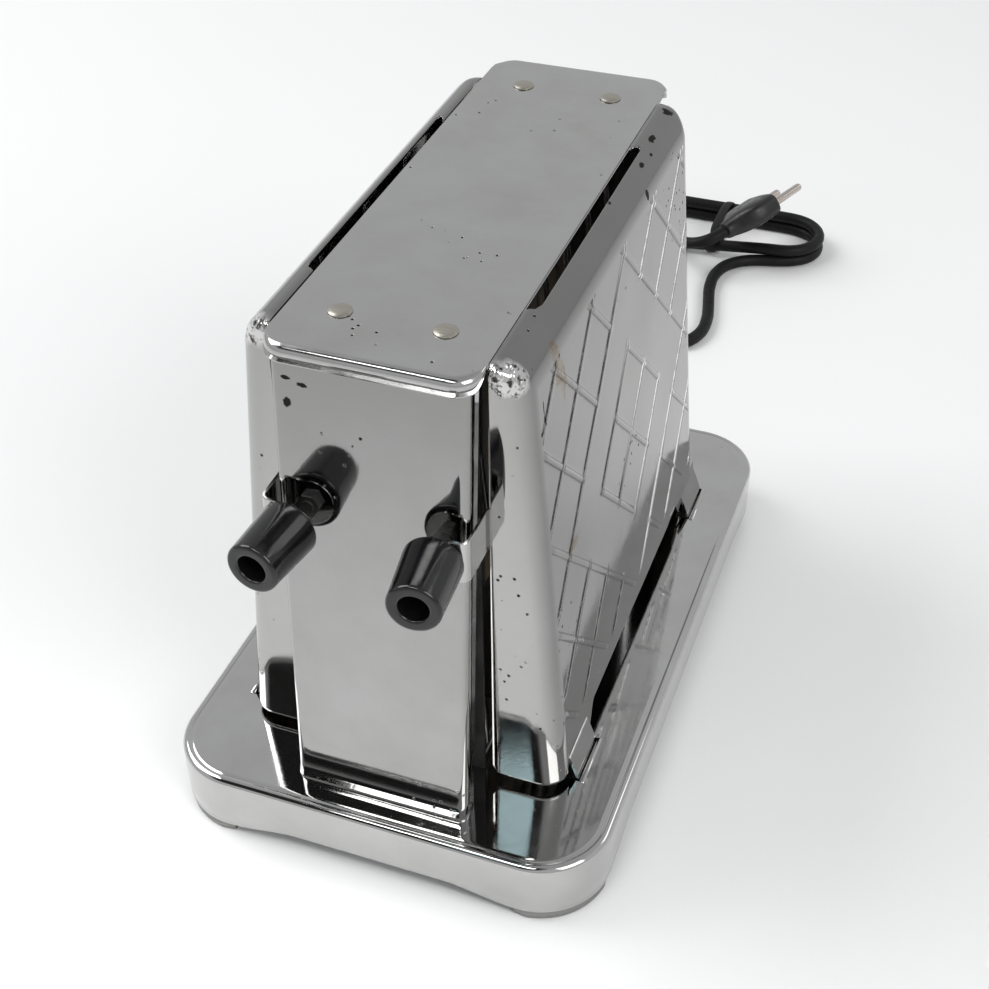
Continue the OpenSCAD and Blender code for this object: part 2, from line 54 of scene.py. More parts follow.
# Sizes shared with the CAD model
BASE_W, BASE_L, BASE_H, BASE_R = 153.5, 246.0, 26.0, 24.5
BODY_H = 192.0
TOP_W, TOP_L, TOP_R = 65.0, 201.5, 8.0
RIVET_X, RIVET_Y = 16.0, 78.7
PANEL_W, PANEL_LEAN, PANEL_TOP_Y = 60.0, math.radians(4.2), 98.0
PANEL_TOP_Z = BODY_H - 1.2
PANEL_FOOT_Y = PANEL_TOP_Y + (PANEL_TOP_Z - BASE_H) * math.tan(PANEL_LEAN)
DOOR_FOOT_X, DOOR_LEAN = 57.2, math.radians(4.8)
DOOR_FRONT, DOOR_REAR, DOOR_IN_X, DOOR_LOW = 91.5, 84.5, 33.0, BASE_H + 3.5
HINGE_X, HINGE_Z, BEAD_R = 61.2, BASE_H - 0.8, 1.2
SLOT_X, SLOT_Y = (54.5, 61.8), (62.0, 82.6)
KNOB_AT, KNOB_SPLAY = (22.5, -109.0, 135.0), math.radians(6)
KNOB_L, KNOB_BASE_R, KNOB_TIP_R, KNOB_HOLE_R = 21.5, 9.2, 8.3, 4.5
SHEET = 0.9
CELL, LATTICE_MID = 24.3, (1.0, 110.0)
LATTICE_Y, LATTICE_Z = (-82.0, 76.0), (45.0, 181.0)
BEAD_HALF, BEAD_HIGH = 1.25, 0.45
CORNERS = [(sx, sy) for sx in (-1, 1) for sy in (-1, 1)]


def new_object(name, data):
    """Puts a mesh, curve, lamp or camera in the scene."""
    obj = bpy.data.objects.new(name, data)
    bpy.context.collection.objects.link(obj)
    return obj


def new_mesh(name, points, faces):
    """Mesh of points in tray mm."""
    mesh = bpy.data.meshes.new(name)
    mesh.from_pydata([tuple(Vector(p) * MM + CENTRE) for p in points], [], faces)
    return mesh


# ---- Camera ----

CAMERA_AT = (155.86, -417.84, 430.27)
CAMERA_TURN = (20.39, 38.95, -0.61)  # azimuth, elevation and roll in degrees
CAMERA_LENS, CAMERA_SENSOR = 57.27, 36


def make_camera():
    """Stands where the object is seen from its front right corner, well above it."""
    azimuth, elevation, roll = map(math.radians, CAMERA_TURN)
    back = Vector((math.sin(azimuth) * math.cos(elevation),
                   -math.cos(azimuth) * math.cos(elevation), math.sin(elevation)))
    right = (-back).cross(Vector((0, 0, 1))).normalized()
    up = right.cross(-back)
    turned = right * math.cos(roll) + up * math.sin(roll)
    above = -right * math.sin(roll) + up * math.cos(roll)
    data = bpy.data.cameras.new("camera")
    data.sensor_width = CAMERA_SENSOR
    data.lens = CAMERA_LENS
    data.clip_start = 0.01
    data.dof.use_dof = False
    camera = new_object("camera", data)
    turn = Matrix((turned, above, back)).transposed().to_4x4()
    camera.matrix_world = Matrix.Translation(Vector(CAMERA_AT) * MM + CENTRE) @ turn
    bpy.context.scene.camera = camera


make_camera()


# ---- Materials ----

class Nodes:
    """A material's node tree, with short calls for the nodes that these materials share."""

    def __init__(self, name):
        self.material = bpy.data.materials.new(name)
        self.material.use_nodes = True
        self.tree = self.material.node_tree
        self.shader = self.tree.nodes["Principled BSDF"]
        self.where = self.add("ShaderNodeTexCoord").outputs["Object"]

    def add(self, kind, **settings):
        node = self.tree.nodes.new(kind)
        for key, value in settings.items():
            setattr(node, key, value)
        return node

    def join(self, out, into):
        self.tree.links.new(out, into)

    def set(self, **values):
        for key, value in values.items():
            self.shader.inputs[key.replace("_", " ")].default_value = value

    def noise(self, scale, detail=3.0, rough=0.5, stretch=None, distortion=0.0):
        node = self.add("ShaderNodeTexNoise")
        node.inputs["Scale"].default_value = scale
        node.inputs["Detail"].default_value = detail
        node.inputs["Roughness"].default_value = rough
        node.inputs["Distortion"].default_value = distortion
        self.join(self.placed(stretch), node.inputs["Vector"])
        return node.outputs["Fac"]

    def placed(self, stretch):
        """Object coordinates, scaled along each axis where a stretch is given."""
        if stretch is None:
            return self.where
        node = self.add("ShaderNodeMapping")
        node.inputs["Scale"].default_value = stretch
        self.join(self.where, node.inputs["Vector"])
        return node.outputs["Vector"]

    def dots(self, scale):
        """Distance from scattered points, in cells."""
        node = self.add("ShaderNodeTexVoronoi")
        node.inputs["Scale"].default_value = scale
        self.join(self.where, node.inputs["Vector"])
        return node.outputs["Distance"]

    def spread(self, value, low, high, to_low=0.0, to_high=1.0):
        """Maps low..high to to_low..to_high, and holds it inside them."""
        node = self.add("ShaderNodeMapRange", clamp=True)
        for key, number in (("From Min", low), ("From Max", high),
                            ("To Min", to_low), ("To Max", to_high)):
            node.inputs[key].default_value = number
        self.join(value, node.inputs["Value"])
        return node.outputs["Result"]

    def math(self, operation, a, b):
        node = self.add("ShaderNodeMath", operation=operation)
        for socket, value in zip(node.inputs, (a, b)):
            if isinstance(value, (int, float)):
                socket.default_value = value
            else:
                self.join(value, socket)
        return node.outputs["Value"]

    def times(self, a, b):
        return self.math("MULTIPLY", a, b)

    def plus(self, a, b):
        return self.math("ADD", a, b)

    def minus(self, a, b):
        return self.math("SUBTRACT", a, b)

    def mix(self, factor, a, b):
        node = self.add("ShaderNodeMix", data_type="RGBA")
        self.join(factor, node.inputs["Factor"])
        for socket, value in ((node.inputs["A"], a), (node.inputs["B"], b)):
            if isinstance(value, tuple):
                socket.default_value = value if len(value) == 4 else (*value, 1)
            else:
                self.join(value, socket)
        return node.outputs["Result"]

    def zone(self, place, radii, ragged=0.5, scale=260):
        """1 inside a ragged ellipsoid, given in tray mm, and 0 outside it."""
        offset = self.add("ShaderNodeVectorMath", operation="SUBTRACT")
        self.join(self.where, offset.inputs[0])
        offset.inputs[1].default_value = Vector(place) * MM + CENTRE
        scaled = self.add("ShaderNodeVectorMath", operation="DIVIDE")
        self.join(offset.outputs["Vector"], scaled.inputs[0])
        scaled.inputs[1].default_value = Vector(radii) * MM
        length = self.add("ShaderNodeVectorMath", operation="LENGTH")
        self.join(scaled.outputs["Vector"], length.inputs[0])
        edge = self.times(self.minus(self.noise(scale, 3, 0.6), 0.5), ragged * 2)
        return self.spread(self.plus(length.outputs["Value"], edge), 0.75, 1.0, 1.0, 0.0)

    def axis(self, name):
        """One coordinate in tray mm."""
        node = self.add("ShaderNodeSeparateXYZ")
        self.join(self.where, node.inputs["Vector"])
        offset = getattr(CENTRE, name.lower())
        return self.math("DIVIDE", self.minus(node.outputs[name], offset), MM)

    def bump(self, height, distance, onto=None):
        node = self.add("ShaderNodeBump")
        node.inputs["Strength"].default_value = 1.0
        node.inputs["Distance"].default_value = distance
        self.join(height, node.inputs["Height"])
        if onto is not None:
            self.join(onto, node.inputs["Normal"])
        return node.outputs["Normal"]

    def done(self, colour=None, roughness=None, normal=None):
        if colour is not None:
            self.join(colour, self.shader.inputs["Base Color"])
        if roughness is not None:
            self.join(roughness, self.shader.inputs["Roughness"])
        if normal is not None:
            self.join(normal, self.shader.inputs["Normal"])
        return self.material


def chrome(name, tone=0.62, rough=0.06, pits=0.0, stain=0.0, wave=0.00012, worn=(), flaked=(),
           streaks=(), crumpled=(), creased=False, painted_top_shade=0.0):
    """Old chrome plating: faint haze, pits, staining and slightly uneven sheet.

    worn, flaked, streaks and crumpled are (place, radii) ellipsoids in tray mm; the colour of
    the crumpled ones is painted highlight and painted shade over a real crumple. The last
    argument is how far the tone falls with height: painted shade on the upper part. creased is
    for the doors: dark lines along their beads, painted shade and partly dirt, which on one
    diagonal turn pale towards the rear as painted highlight, and a painted highlight on the
    front flange.
    """
    n = Nodes(name)
    n.set(Metallic=1.0)
    haze = n.noise(45, 4, 0.6)
    colour = n.mix(n.spread(haze, 0.35, 0.75), (tone, tone, tone * 0.99),
                   (tone * 0.9, tone * 0.895, tone * 0.875))
    patches = n.spread(n.noise(22, 6, 0.65, distortion=0.6), 0.60, 0.78)
    if painted_top_shade:
        # Painted shade: the tone darkens towards the top.
        top_shade_mask = n.times(n.spread(n.axis("Z"), 60, 190), painted_top_shade)
        colour = n.mix(top_shade_mask, colour, (tone * 0.56, tone * 0.55, tone * 0.54))
    if creased:
        # Painted highlight: the doors' front flange is made brighter.
        painted_flange_highlight = n.spread(n.axis("Y"), -90.5, -85, 0.32, 0.0)
        colour = n.mix(painted_flange_highlight, colour, (tone * 2, tone * 1.98, tone * 1.94))
    if stain:
        colour = n.mix(n.times(patches, stain), colour, (0.30, 0.22, 0.13))
    roughness = n.plus(n.spread(n.noise(70, 5, 0.7), 0.3, 0.8, rough * 0.6, rough * 1.9),
                       n.times(patches, 0.08))
    normal = n.bump(n.noise(11, 2, 0.4), wave)
    normal = n.bump(n.noise(900, 2, 0.5, stretch=(1, 1, 0.25)), 0.000006, onto=normal)
    for place, radii in streaks:
        mask = n.times(n.zone(place, radii, 0.7, 120),
                       n.spread(n.noise(420, 4, 0.7), 0.35, 0.6, 0.15, 0.8))
        colour = n.mix(mask, colour, (0.20, 0.13, 0.06))
        roughness = n.plus(roughness, n.times(mask, 0.3))
    for place, radii in crumpled:
        mask = n.zone(place, radii, 0.3)
        crumple = n.noise(300, 2, 0.5, stretch=(1.5, 1, 0.7), distortion=0.8)
        normal = n.bump(n.times(mask, crumple), 0.0007, onto=normal)
        # Painted highlight and painted shade on the crumpled corners: the zone is made brighter,
        # then flecked dark.
        painted_crinkle_shade = n.times(mask, n.spread(n.noise(500, 3, 0.6), 0.52, 0.62))
        colour = n.mix(painted_crinkle_shade, n.mix(mask, colour, (0.62, 0.62, 0.61)), (0.05, 0.045, 0.04))
    if pits:
        spots = n.spread(n.dots(250), 0.09, 0.15, 1.0, 0.0)
        gate = n.spread(n.noise(26, 3, 0.6), 0.70 - 0.2 * pits, 0.76 - 0.2 * pits)
        for place, radii in worn:
            gate = n.math("MAXIMUM", gate, n.zone(place, radii, 0.6, 90))
        speck = n.times(spots, gate)
        for place, radii in flaked:
            speck = n.math("MAXIMUM", speck, n.zone(place, radii, 0.9, 420))
        colour = n.mix(speck, colour, (0.03, 0.026, 0.022))
        roughness = n.plus(roughness, n.times(speck, 0.6))
        normal = n.bump(speck, -0.0002, onto=normal)
    if creased:
        rising, falling = crease_lines(n)
        broken = n.spread(n.noise(300, 4, 0.7), 0.36, 0.5, 0.35, 1.0)
        to_rear = n.spread(n.axis("Y"), -14, 14)
        # Lines along the bead edges: the falling ones are painted shade, partly dirt; the rising
        # ones are painted shade, partly dirt, towards the front and a painted highlight towards
        # the rear.
        dirt_shade_and_highlight = n.mix(to_rear, (0.018, 0.016, 0.014), (0.95, 0.95, 0.95))
        colour = n.mix(n.times(falling, n.times(broken, 0.6)), colour, (0.06, 0.055, 0.05))
        colour = n.mix(n.times(rising, broken), colour, dirt_shade_and_highlight)
        edge = n.math("MAXIMUM", rising, falling)
        normal = n.bump(edge, -0.00012, onto=normal)
    return n.done(colour, roughness, normal)


def crease_lines(n):
    """Masks of the lines on both sides of the door beads, one for each diagonal."""
    a = n.minus(n.axis("Y"), LATTICE_MID[0])
    b = n.math("DIVIDE", n.minus(n.axis("Z"), LATTICE_MID[1]), math.cos(DOOR_LEAN))
    per_cell = 1 / (CELL * math.sqrt(2))
    u = n.times(n.minus(a, b), per_cell)
    v = n.times(n.plus(a, b), per_cell)
    mid = [(low + high) / 2 for low, high in (LATTICE_Y, LATTICE_Z)]
    half = [(high - low) / 2 for low, high in (LATTICE_Y, LATTICE_Z)]

    def size(value):
        return n.math("ABSOLUTE", value, 0)

    def within(name, i):
        return n.math("LESS_THAN", size(n.minus(n.axis(name), mid[i])), half[i])

    inside = n.times(within("Y", 0), within("Z", 1))
    lines = []
    for across, along, width in ((u, v, 0.55), (v, u, 0.24)):
        line = n.math("ROUND", across, 0)
        off = n.times(size(n.minus(across, line)), CELL)
        edge = size(n.minus(off, BEAD_HALF * 0.9))
        inner = n.math("LESS_THAN", size(line), 1.5)
        band = n.math("LESS_THAN", size(n.minus(size(along), 1.5)), 0.44)
        plain = n.minus(1.0, n.times(inner, band))
        drawn = n.times(n.spread(edge, width * 0.6, width, 1.0, 0.0), plain)
        lines.append(n.times(drawn, inside))
    return lines


def steel(name, colour, rough, grain=(1, 12, 1)):
    """Plain rolled sheet or wire."""
    n = Nodes(name)
    n.set(Metallic=1.0)
    streak = n.noise(160, 4, 0.6, stretch=grain)
    tint = n.mix(n.spread(streak, 0.3, 0.7), tuple(c * 0.8 for c in colour), colour)
    roughness = n.spread(streak, 0.2, 0.8, rough * 0.8, rough * 1.3)
    return n.done(tint, roughness, n.bump(streak, 0.00002))


def bakelite(name, rough=0.12, colour=(0.004, 0.004, 0.0045)):
    """Polished black phenolic with handling haze and fine scratches."""
    n = Nodes(name)
    n.set(IOR=1.5)
    cloud = n.noise(120, 4, 0.6)
    tint = n.mix(n.spread(cloud, 0.35, 0.7), colour, tuple(c * 1.9 for c in colour))
    roughness = n.spread(n.noise(300, 5, 0.7), 0.3, 0.8, rough * 0.7, rough * 1.6)
    return n.done(tint, roughness, n.bump(n.noise(700, 3, 0.6), 0.00001))


def rubber(name, colour=(0.0035, 0.0035, 0.004), rough=0.5):
    """Matt black cord sheath."""
    n = Nodes(name)
    n.set(Specular_IOR_Level=0.22)
    cloud = n.noise(220, 4, 0.6)
    tint = n.mix(n.spread(cloud, 0.3, 0.7), colour, tuple(c * 1.7 for c in colour))
    roughness = n.spread(n.noise(400, 3, 0.6), 0.3, 0.7, rough * 0.85, rough * 1.15)
    return n.done(tint, roughness, n.bump(n.noise(1500, 3, 0.6), 0.00002))


def mineral(name, colour, rough, scale=180):
    """Ceramic, mica or woven sleeving: mottled and slightly uneven."""
    n = Nodes(name)
    cloud = n.noise(scale, 5, 0.65)
    tint = n.mix(n.spread(cloud, 0.3, 0.7), tuple(c * 0.75 for c in colour), colour)
    return n.done(tint, n.spread(cloud, 0.2, 0.8, rough, rough * 1.3), n.bump(cloud, 0.00005))


DOOR_FLAKES = [((37, 77, 190.3), (2.0, 2.6, 2)), ((37.4, 56, 190.2), (1.2, 3.2, 2)),
               ((38.9, 38, 189.5), (0.8, 2.0, 2)), ((39.6, 47, 189), (0.6, 1.1, 2)),
               ((36.8, 8, 190.6), (0.9, 1.4, 1)), ((43.5, 30, 184), (1.2, 1.3, 2.4)),
               ((46.5, -79, 172), (2, 0.5, 6)), ((46.8, -82, 166), (2, 0.7, 0.8)),
               ((-46, -60, 188), (1.2, 3, 2)), ((-47, 20, 160), (2, 1.2, 0.8))]
# The chrome parts are one plating; their tones differ part by part so each comes out as bright as
# wanted under these lamps, and that difference is painted shade, darkest on the doors and panels.
MATERIAL = {
    "top": chrome("chrome_top", 0.465, 0.11, pits=0.62, stain=0.10, wave=0.00008,
                  worn=[((24, -92, 192), (14, 5, 3)), ((-8, -86, 192), (12, 8, 3))]),
    "panel": chrome("chrome_panel", 0.395, 0.05, painted_top_shade=0.5, pits=0.3, stain=0.05, wave=0.0001,
                    flaked=[((-24.6, -99, 172.5), (1.2, 3, 1.9)),
                            ((-24.8, -98.6, 180.5), (1.7, 3, 0.6)),
                            ((-19.5, -98.6, 179), (1.7, 3, 0.8))],
                    worn=[((0, -98, 189), (30, 4, 4)), ((22, -98, 187), (8, 4, 4))]),
    "door": chrome("chrome_door", 0.325, 0.07, pits=0.72, stain=0.22, wave=0.00012,
                   worn=[((side * 38, -91.5, 122), (7, 4, 24)) for side in (-1, 1)]
                   + [((side * 45, -70, 188), (8, 18, 10)) for side in (-1, 1)]
                   + [((47, 70, 170), (8, 12, 24)), ((52, -88, 55), (6, 8, 26))],
                   flaked=DOOR_FLAKES,
                   streaks=[((45.5, -66, 181), (5, 3.2, 9)), ((47, -62, 171), (5, 2.4, 8)),
                            ((51, -64, 112), (4, 7, 3))],
                   crumpled=[((side * 40, -89.5, 188.5), (8, 6, 6.5)) for side in (-1, 1)],
                   creased=True, painted_top_shade=0.62),
    "base": chrome("chrome_base", 0.51, 0.05, pits=0.25, stain=0.05, wave=0.00012),
    "strap": chrome("chrome_strap", 0.50, 0.09, pits=0.6, stain=0.15),
    "rivet": steel("rivet_metal", (0.43, 0.41, 0.36), 0.36),
    # The feet's steel is darker than plain steel, partly as painted shade under the skirt.
    "foot": steel("foot_metal", (0.30, 0.30, 0.29), 0.40),
    "steel": steel("plain_steel", (0.55, 0.55, 0.54), 0.32),
    "dull": steel("oxidised_steel", (0.20, 0.195, 0.19), 0.5),
    "ribbon": steel("heating_ribbon", (0.30, 0.27, 0.26), 0.55, (1, 1, 12)),
    "brass": steel("brass", (0.72, 0.53, 0.24), 0.28),
    "pin": steel("pin_metal", (0.62, 0.56, 0.52), 0.25),
    "ceramic": mineral("ceramic", (0.80, 0.77, 0.70), 0.25),
    "mica": mineral("mica", (0.50, 0.40, 0.26), 0.35, 60),
    "sleeving": mineral("sleeving", (0.72, 0.67, 0.55), 0.8, 900),
    "knob": bakelite("black_phenolic"),
    "plug": bakelite("plug_plastic", 0.38),
    "cord": rubber("cord_rubber"),
}
CAD_NODES = {
    "steel": ("bottom_cover", "cover_posts", "cover_screws", "frame_screws", "cord_clamp",
              "left_bread_guard", "right_bread_guard", "left_knob_screw", "right_knob_screw",
              "left_knob_nut", "right_knob_nut"),
    "dull": ("front_frame_plate", "rear_frame_plate", "floor_shield"),
    "ceramic": ("element_posts", "terminal_block"), "mica": ("mica_card",),
    "ribbon": ("heating_ribbon",), "brass": ("terminal_screws",),
    "sleeving": ("element_leads",), "cord": ("inner_cord", "cord_grommet"),
    "foot": ("corner_feet",),
}
for key, node_names in CAD_NODES.items():
    for node_name in node_names:
        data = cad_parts[node_name].data
        data.materials.clear()
        data.materials.append(MATERIAL[key])


# ---- Mesh helpers ----

SHARP = 35  # degrees


def piece(name, points, faces, key, body, slot, nodes=(), smooth=SHARP):
    """Makes an object of mesh points in mm, gives it a finish and hangs it on a body."""
    mesh = new_mesh(name, points, faces)
    tidy = bmesh.new()
    tidy.from_mesh(mesh)
    bmesh.ops.remove_doubles(tidy, verts=tidy.verts, dist=0.00001)
    bmesh.ops.dissolve_degenerate(tidy, edges=tidy.edges, dist=0.00001)
    bmesh.ops.recalc_face_normals(tidy, faces=tidy.faces)
    tidy.to_mesh(mesh)
    tidy.free()
    mesh.materials.append(MATERIAL[key])
    obj = new_object(name, mesh)
    shade(obj, smooth)
    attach(obj, body)
    if nodes:
        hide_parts(*nodes)
    return obj


def shade(obj, angle):
    """Smooth shading, sharp where faces meet at more than an angle in degrees."""
    for polygon in obj.data.polygons:
        polygon.use_smooth = True
    obj.data.set_sharp_from_angle(angle=math.radians(angle))


def grid(rows, columns, keep=None, start=0):
    """Quads over a grid of points held row after row."""
    return [(start + i * columns + j, start + i * columns + j + 1,
             start + (i + 1) * columns + j + 1, start + (i + 1) * columns + j)
            for i in range(rows - 1) for j in range(columns - 1) if keep is None or keep(i, j)]


def loops(rings, close_ends=True):
    """Points and faces of closed rings of equal length, joined one to the next."""
    count = len(rings[0])
    points = [p for ring in rings for p in ring]
    faces = [(i * count + j, i * count + (j + 1) % count,
              (i + 1) * count + (j + 1) % count, (i + 1) * count + j)
             for i in range(len(rings) - 1) for j in range(count)]
    if close_ends:
        faces.append(tuple(range(count))[::-1])
        faces.append(tuple((len(rings) - 1) * count + j for j in range(count)))
    return points, faces


def both(first, second):
    """Two (points, faces) pairs as one."""
    shift = len(first[0])
    return first[0] + second[0], first[1] + [tuple(i + shift for i in f) for f in second[1]]


def lathe(profile, place, steps, close_ends=True):
    """Turned solid: profile is (radius, height) pairs, place maps local mm to tray mm."""
    rings = [[place @ Vector((r * math.cos(2 * math.pi * k / steps),
                              r * math.sin(2 * math.pi * k / steps), h))
              for k in range(steps)] for r, h in profile]
    return loops(rings, close_ends)


def arc(cx, cy, r, start, end, steps):
    """Points (x, y) on an arc, angles in degrees."""
    return [(cx + r * math.cos(math.radians(start + (end - start) * k / steps)),
             cy + r * math.sin(math.radians(start + (end - start) * k / steps)))
            for k in range(steps + 1)]


def outline(w, l, r, inset=0.0, side_steps=(24, 40), corner=14):
    """Rounded rectangle as a ring of (x, y, distance along its side from a corner)."""
    r = max(r - inset, 0.01)
    hx, hy = w / 2 - inset - r, l / 2 - inset - r
    signs = ((1, 1), (-1, 1), (-1, -1), (1, -1))
    ring = []
    for quarter, (sx, sy) in enumerate(signs):
        turn = arc(sx * hx, sy * hy, r, 90 * quarter, 90 * quarter + 90, corner)
        ring += [(x, y, 0.0) for x, y in turn]
        nx, ny = signs[(quarter + 1) % 4]
        end = arc(nx * hx, ny * hy, r, 90 * quarter + 90, 90 * quarter + 90, 1)[0]
        start = turn[-1]
        steps = side_steps[quarter % 2]
        length = math.hypot(end[0] - start[0], end[1] - start[1])
        ring += [(start[0] + (end[0] - start[0]) * k / steps,
                  start[1] + (end[1] - start[1]) * k / steps,
                  length * min(k, steps - k) / steps) for k in range(1, steps)]
    return ring


def keep_sign(value, power):
    return math.copysign(abs(value) ** power, value)


def step_up(value, low, high):
    """Eased step from 0 at low to 1 at high."""
    f = min(max((value - low) / (high - low), 0), 1)
    return f * f * (3 - 2 * f)


def solid_sheet(obj, thickness=SHEET):
    """Gives an open sheet its thickness, for good."""
    modifier = obj.modifiers.new("sheet", "SOLIDIFY")
    modifier.thickness = thickness * MM
    modifier.offset = -1
    modifier.use_even_offset = True
    bake(obj)


def bake(obj):
    """Turns an object's modifiers into mesh."""
    depsgraph = bpy.context.evaluated_depsgraph_get()
    done = bpy.data.meshes.new_from_object(obj.evaluated_get(depsgraph))
    obj.modifiers.clear()
    old = obj.data
    obj.data = done
    bpy.data.meshes.remove(old)


def cut_boxes(obj, boxes):
    """Cuts straight-sided holes, each a (low, high) pair in tray mm."""
    points, faces = [], []
    for low, high in boxes:
        base = len(points)
        points += [(x, y, z) for z in (low[2], high[2]) for y in (low[1], high[1])
                   for x in (low[0], high[0])]
        faces += [tuple(base + i for i in f) for f in (
            (0, 2, 3, 1), (4, 5, 7, 6), (0, 1, 5, 4), (2, 6, 7, 3), (0, 4, 6, 2), (1, 3, 7, 5))]
    mesh = new_mesh("cutter", points, faces)
    cutter = new_object("cutter", mesh)
    modifier = obj.modifiers.new("cut", "BOOLEAN")
    modifier.object = cutter
    modifier.operation = "DIFFERENCE"
    modifier.solver = "EXACT"
    bake(obj)
    bpy.data.objects.remove(cutter)
    bpy.data.meshes.remove(mesh)
    shade(obj, SHARP)


# ---- Cord, plug and tie ----

CORD_R = 3.0
CORD_ROUTE = [
    (0, 148.5, 14.5), (-1, 157, 13.5), (-4, 168, 10.5), (-10, 180, 6.5), (-18, 191, 4),
    (-27, 203, 3), (-35, 217, 3), (-40, 232, 3), (-42, 247, 3), (-40, 262, 3), (-33, 275, 3),
    (-21, 281, 3), (-9, 275, 3), (-2, 262, 3), (-1, 247, 3), (-1, 232, 3), (3, 221, 3),
    (12, 216, 3), (21, 221, 3), (25, 233, 3), (24, 247, 3), (21, 260, 3), (18, 273, 3),
    (17, 286, 3), (20, 298, 3), (28, 306, 3), (38, 310, 3), (48, 312, 3)]
LEAD_ROUTE = [(-34, 312, 9), (-24, 310, 10), (-14, 304, 12), (-6, 296, 14.5), (1, 289.5, 17),
              (8, 287.5, 19.5), (14.5, 290.5, 22.2), (19, 296, 24)]
HANK_MID, HANK_RUN, HANK_FOLD = (6, 330), 78.3, 18.0
HANK_LAP = 2 * HANK_RUN + 2 * math.pi * HANK_FOLD
PLUG_AT, PLUG_YAW, PLUG_PITCH, PLUG_ROLL = (19, 296, 24), 58, 11, -35


def hank_turn(start, end, z_start, z_end, steps):
    """Part of a turn round the hank; start and end count turns from its near run's middle."""
    half, r = HANK_RUN / 2, HANK_FOLD
    points = []
    for k in range(steps + 1):
        f = k / steps
        at = start + (end - start) * f
        z = z_start + (z_end - z_start) * f
        s = (at % 1.0) * HANK_LAP
        if s < half:
            x, y = s, -r
        elif s < half + math.pi * r:
            a = (s - half) / r - math.pi / 2
            x, y = half + r * math.cos(a), r * math.sin(a)
        elif s < 3 * half + math.pi * r:
            x, y = half - (s - half - math.pi * r), r
        elif s < 3 * half + 2 * math.pi * r:
            a = (s - 3 * half - math.pi * r) / r + math.pi / 2
            x, y = -half + r * math.cos(a), r * math.sin(a)
        else:
            x, y = s - HANK_LAP, -r
        points.append((HANK_MID[0] + x, HANK_MID[1] + y, z))
    return points


def smooth_path(points, step=2.0, passes=6):
    """Evenly spaced points on one smooth line through the given ones."""
    pts = np.array(points, float)
    for _ in range(passes):
        at = np.concatenate([[0], np.cumsum(np.linalg.norm(np.diff(pts, axis=0), axis=1))])
        count = max(int(round(at[-1] / step)), 2)
        even = np.linspace(0, at[-1], count + 1)
        pts = np.stack([np.interp(even, at, pts[:, c]) for c in range(3)], 1)
        inner = 0.25 * pts[:-2] + 0.5 * pts[1:-1] + 0.25 * pts[2:]
        pts = np.vstack([pts[:1], inner, pts[-1:]])
    return pts


def cord_path():
    """The whole cord: loose on the table, round the hank and up to the plug."""
    start = (CORD_ROUTE[-1][0] - HANK_MID[0]) / HANK_LAP
    end = 2 - (HANK_MID[0] - LEAD_ROUTE[0][0]) / HANK_LAP
    route = list(CORD_ROUTE)
    route += hank_turn(start, 0.92, CORD_R, CORD_R, 60)[3:]
    route += hank_turn(0.93, 1.13, CORD_R + 0.2, 3 * CORD_R, 20)
    route += hank_turn(1.14, end, 3 * CORD_R, 3 * CORD_R, 60)[:-2]
    route += list(LEAD_ROUTE)
    return smooth_path(route)


def make_cord():
    """The free cord, as a round curve of one open spline."""
    path = cord_path()
    curve = bpy.data.curves.new("mains_flex", "CURVE")
    curve.dimensions = "3D"
    spline = curve.splines.new("POLY")
    spline.points.add(len(path) - 1)
    for point, p in zip(spline.points, path):
        point.co = (*(Vector(p) * MM + CENTRE), 1)
    spline.use_smooth = True
    curve.bevel_depth = CORD_R * MM
    curve.bevel_resolution = 7
    curve.use_fill_caps = True
    curve.materials.append(MATERIAL["cord"])
    cord = new_object("mains_flex", curve)
    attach(cord, "body")
    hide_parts("mains_cord", "cord_hank", "plug_lead")
    return cord


def plug_frame():
    """Maps plug mm (Z along the pins, X across them) to tray mm, as in the CAD model."""
    turn = Matrix.Rotation
    return (Matrix.Translation(Vector(PLUG_AT)) @ turn(math.radians(PLUG_YAW), 4, "Z")
            @ turn(math.radians(-PLUG_PITCH), 4, "Y") @ turn(math.radians(PLUG_ROLL), 4, "X")
            @ turn(math.radians(90), 4, "Y") @ turn(math.radians(90), 4, "Z"))


def make_plug():
    """Moulded two-pin plug: a neck that swells into flat shoulders, with a finger grip."""
    place = plug_frame()
    stations = [(0, 3.4, 3.4), (0.4, 4.2, 4.2), (1.6, 4.7, 4.6), (4, 5.6, 4.9), (7, 8.2, 5.6),
                (10, 11.2, 6.1), (13, 13.2, 6.3), (16, 14.2, 6.4), (19, 14.8, 6.4),
                (21.5, 14.7, 6.2), (24, 14.6, 6.3), (26.6, 14.4, 6.3), (27.6, 14.0, 5.9),
                (28, 13.2, 5.2)]
    rings = []
    for h, half_w, half_t in stations:
        ring = []
        for k in range(48):
            a = 2 * math.pi * k / 48
            c, s = math.cos(a), math.sin(a)
            power = 2 / (2.0 + 1.6 * min(h / 12, 1))
            ring.append(place @ Vector((half_w * keep_sign(c, power),
                                        half_t * keep_sign(s, power), h)))
        rings.append(ring)
    points, faces = loops(rings)
    body = piece("plug_shell", points, faces, "plug", "body", "plug_plastic", ["plug_body"])
    shape = ([], [])
    for side in (-1, 1):
        at = place @ Matrix.Translation(Vector((side * 9.5, 0, 0)))
        collar = [(0.01, 27.8), (3.0, 27.8), (3.0, 28.3), (2.7, 28.6), (2.0, 28.7)]
        tip = [(2.0, 45.0), (1.9, 46.0), (1.5, 46.7), (0.8, 47.0), (0.01, 47.0)]
        shape = both(shape, lathe(collar + tip, at, 28))
    pins = piece("plug_prongs", *shape, "pin", "body", "pin_metal", ["plug_pins"])
    return body, pins


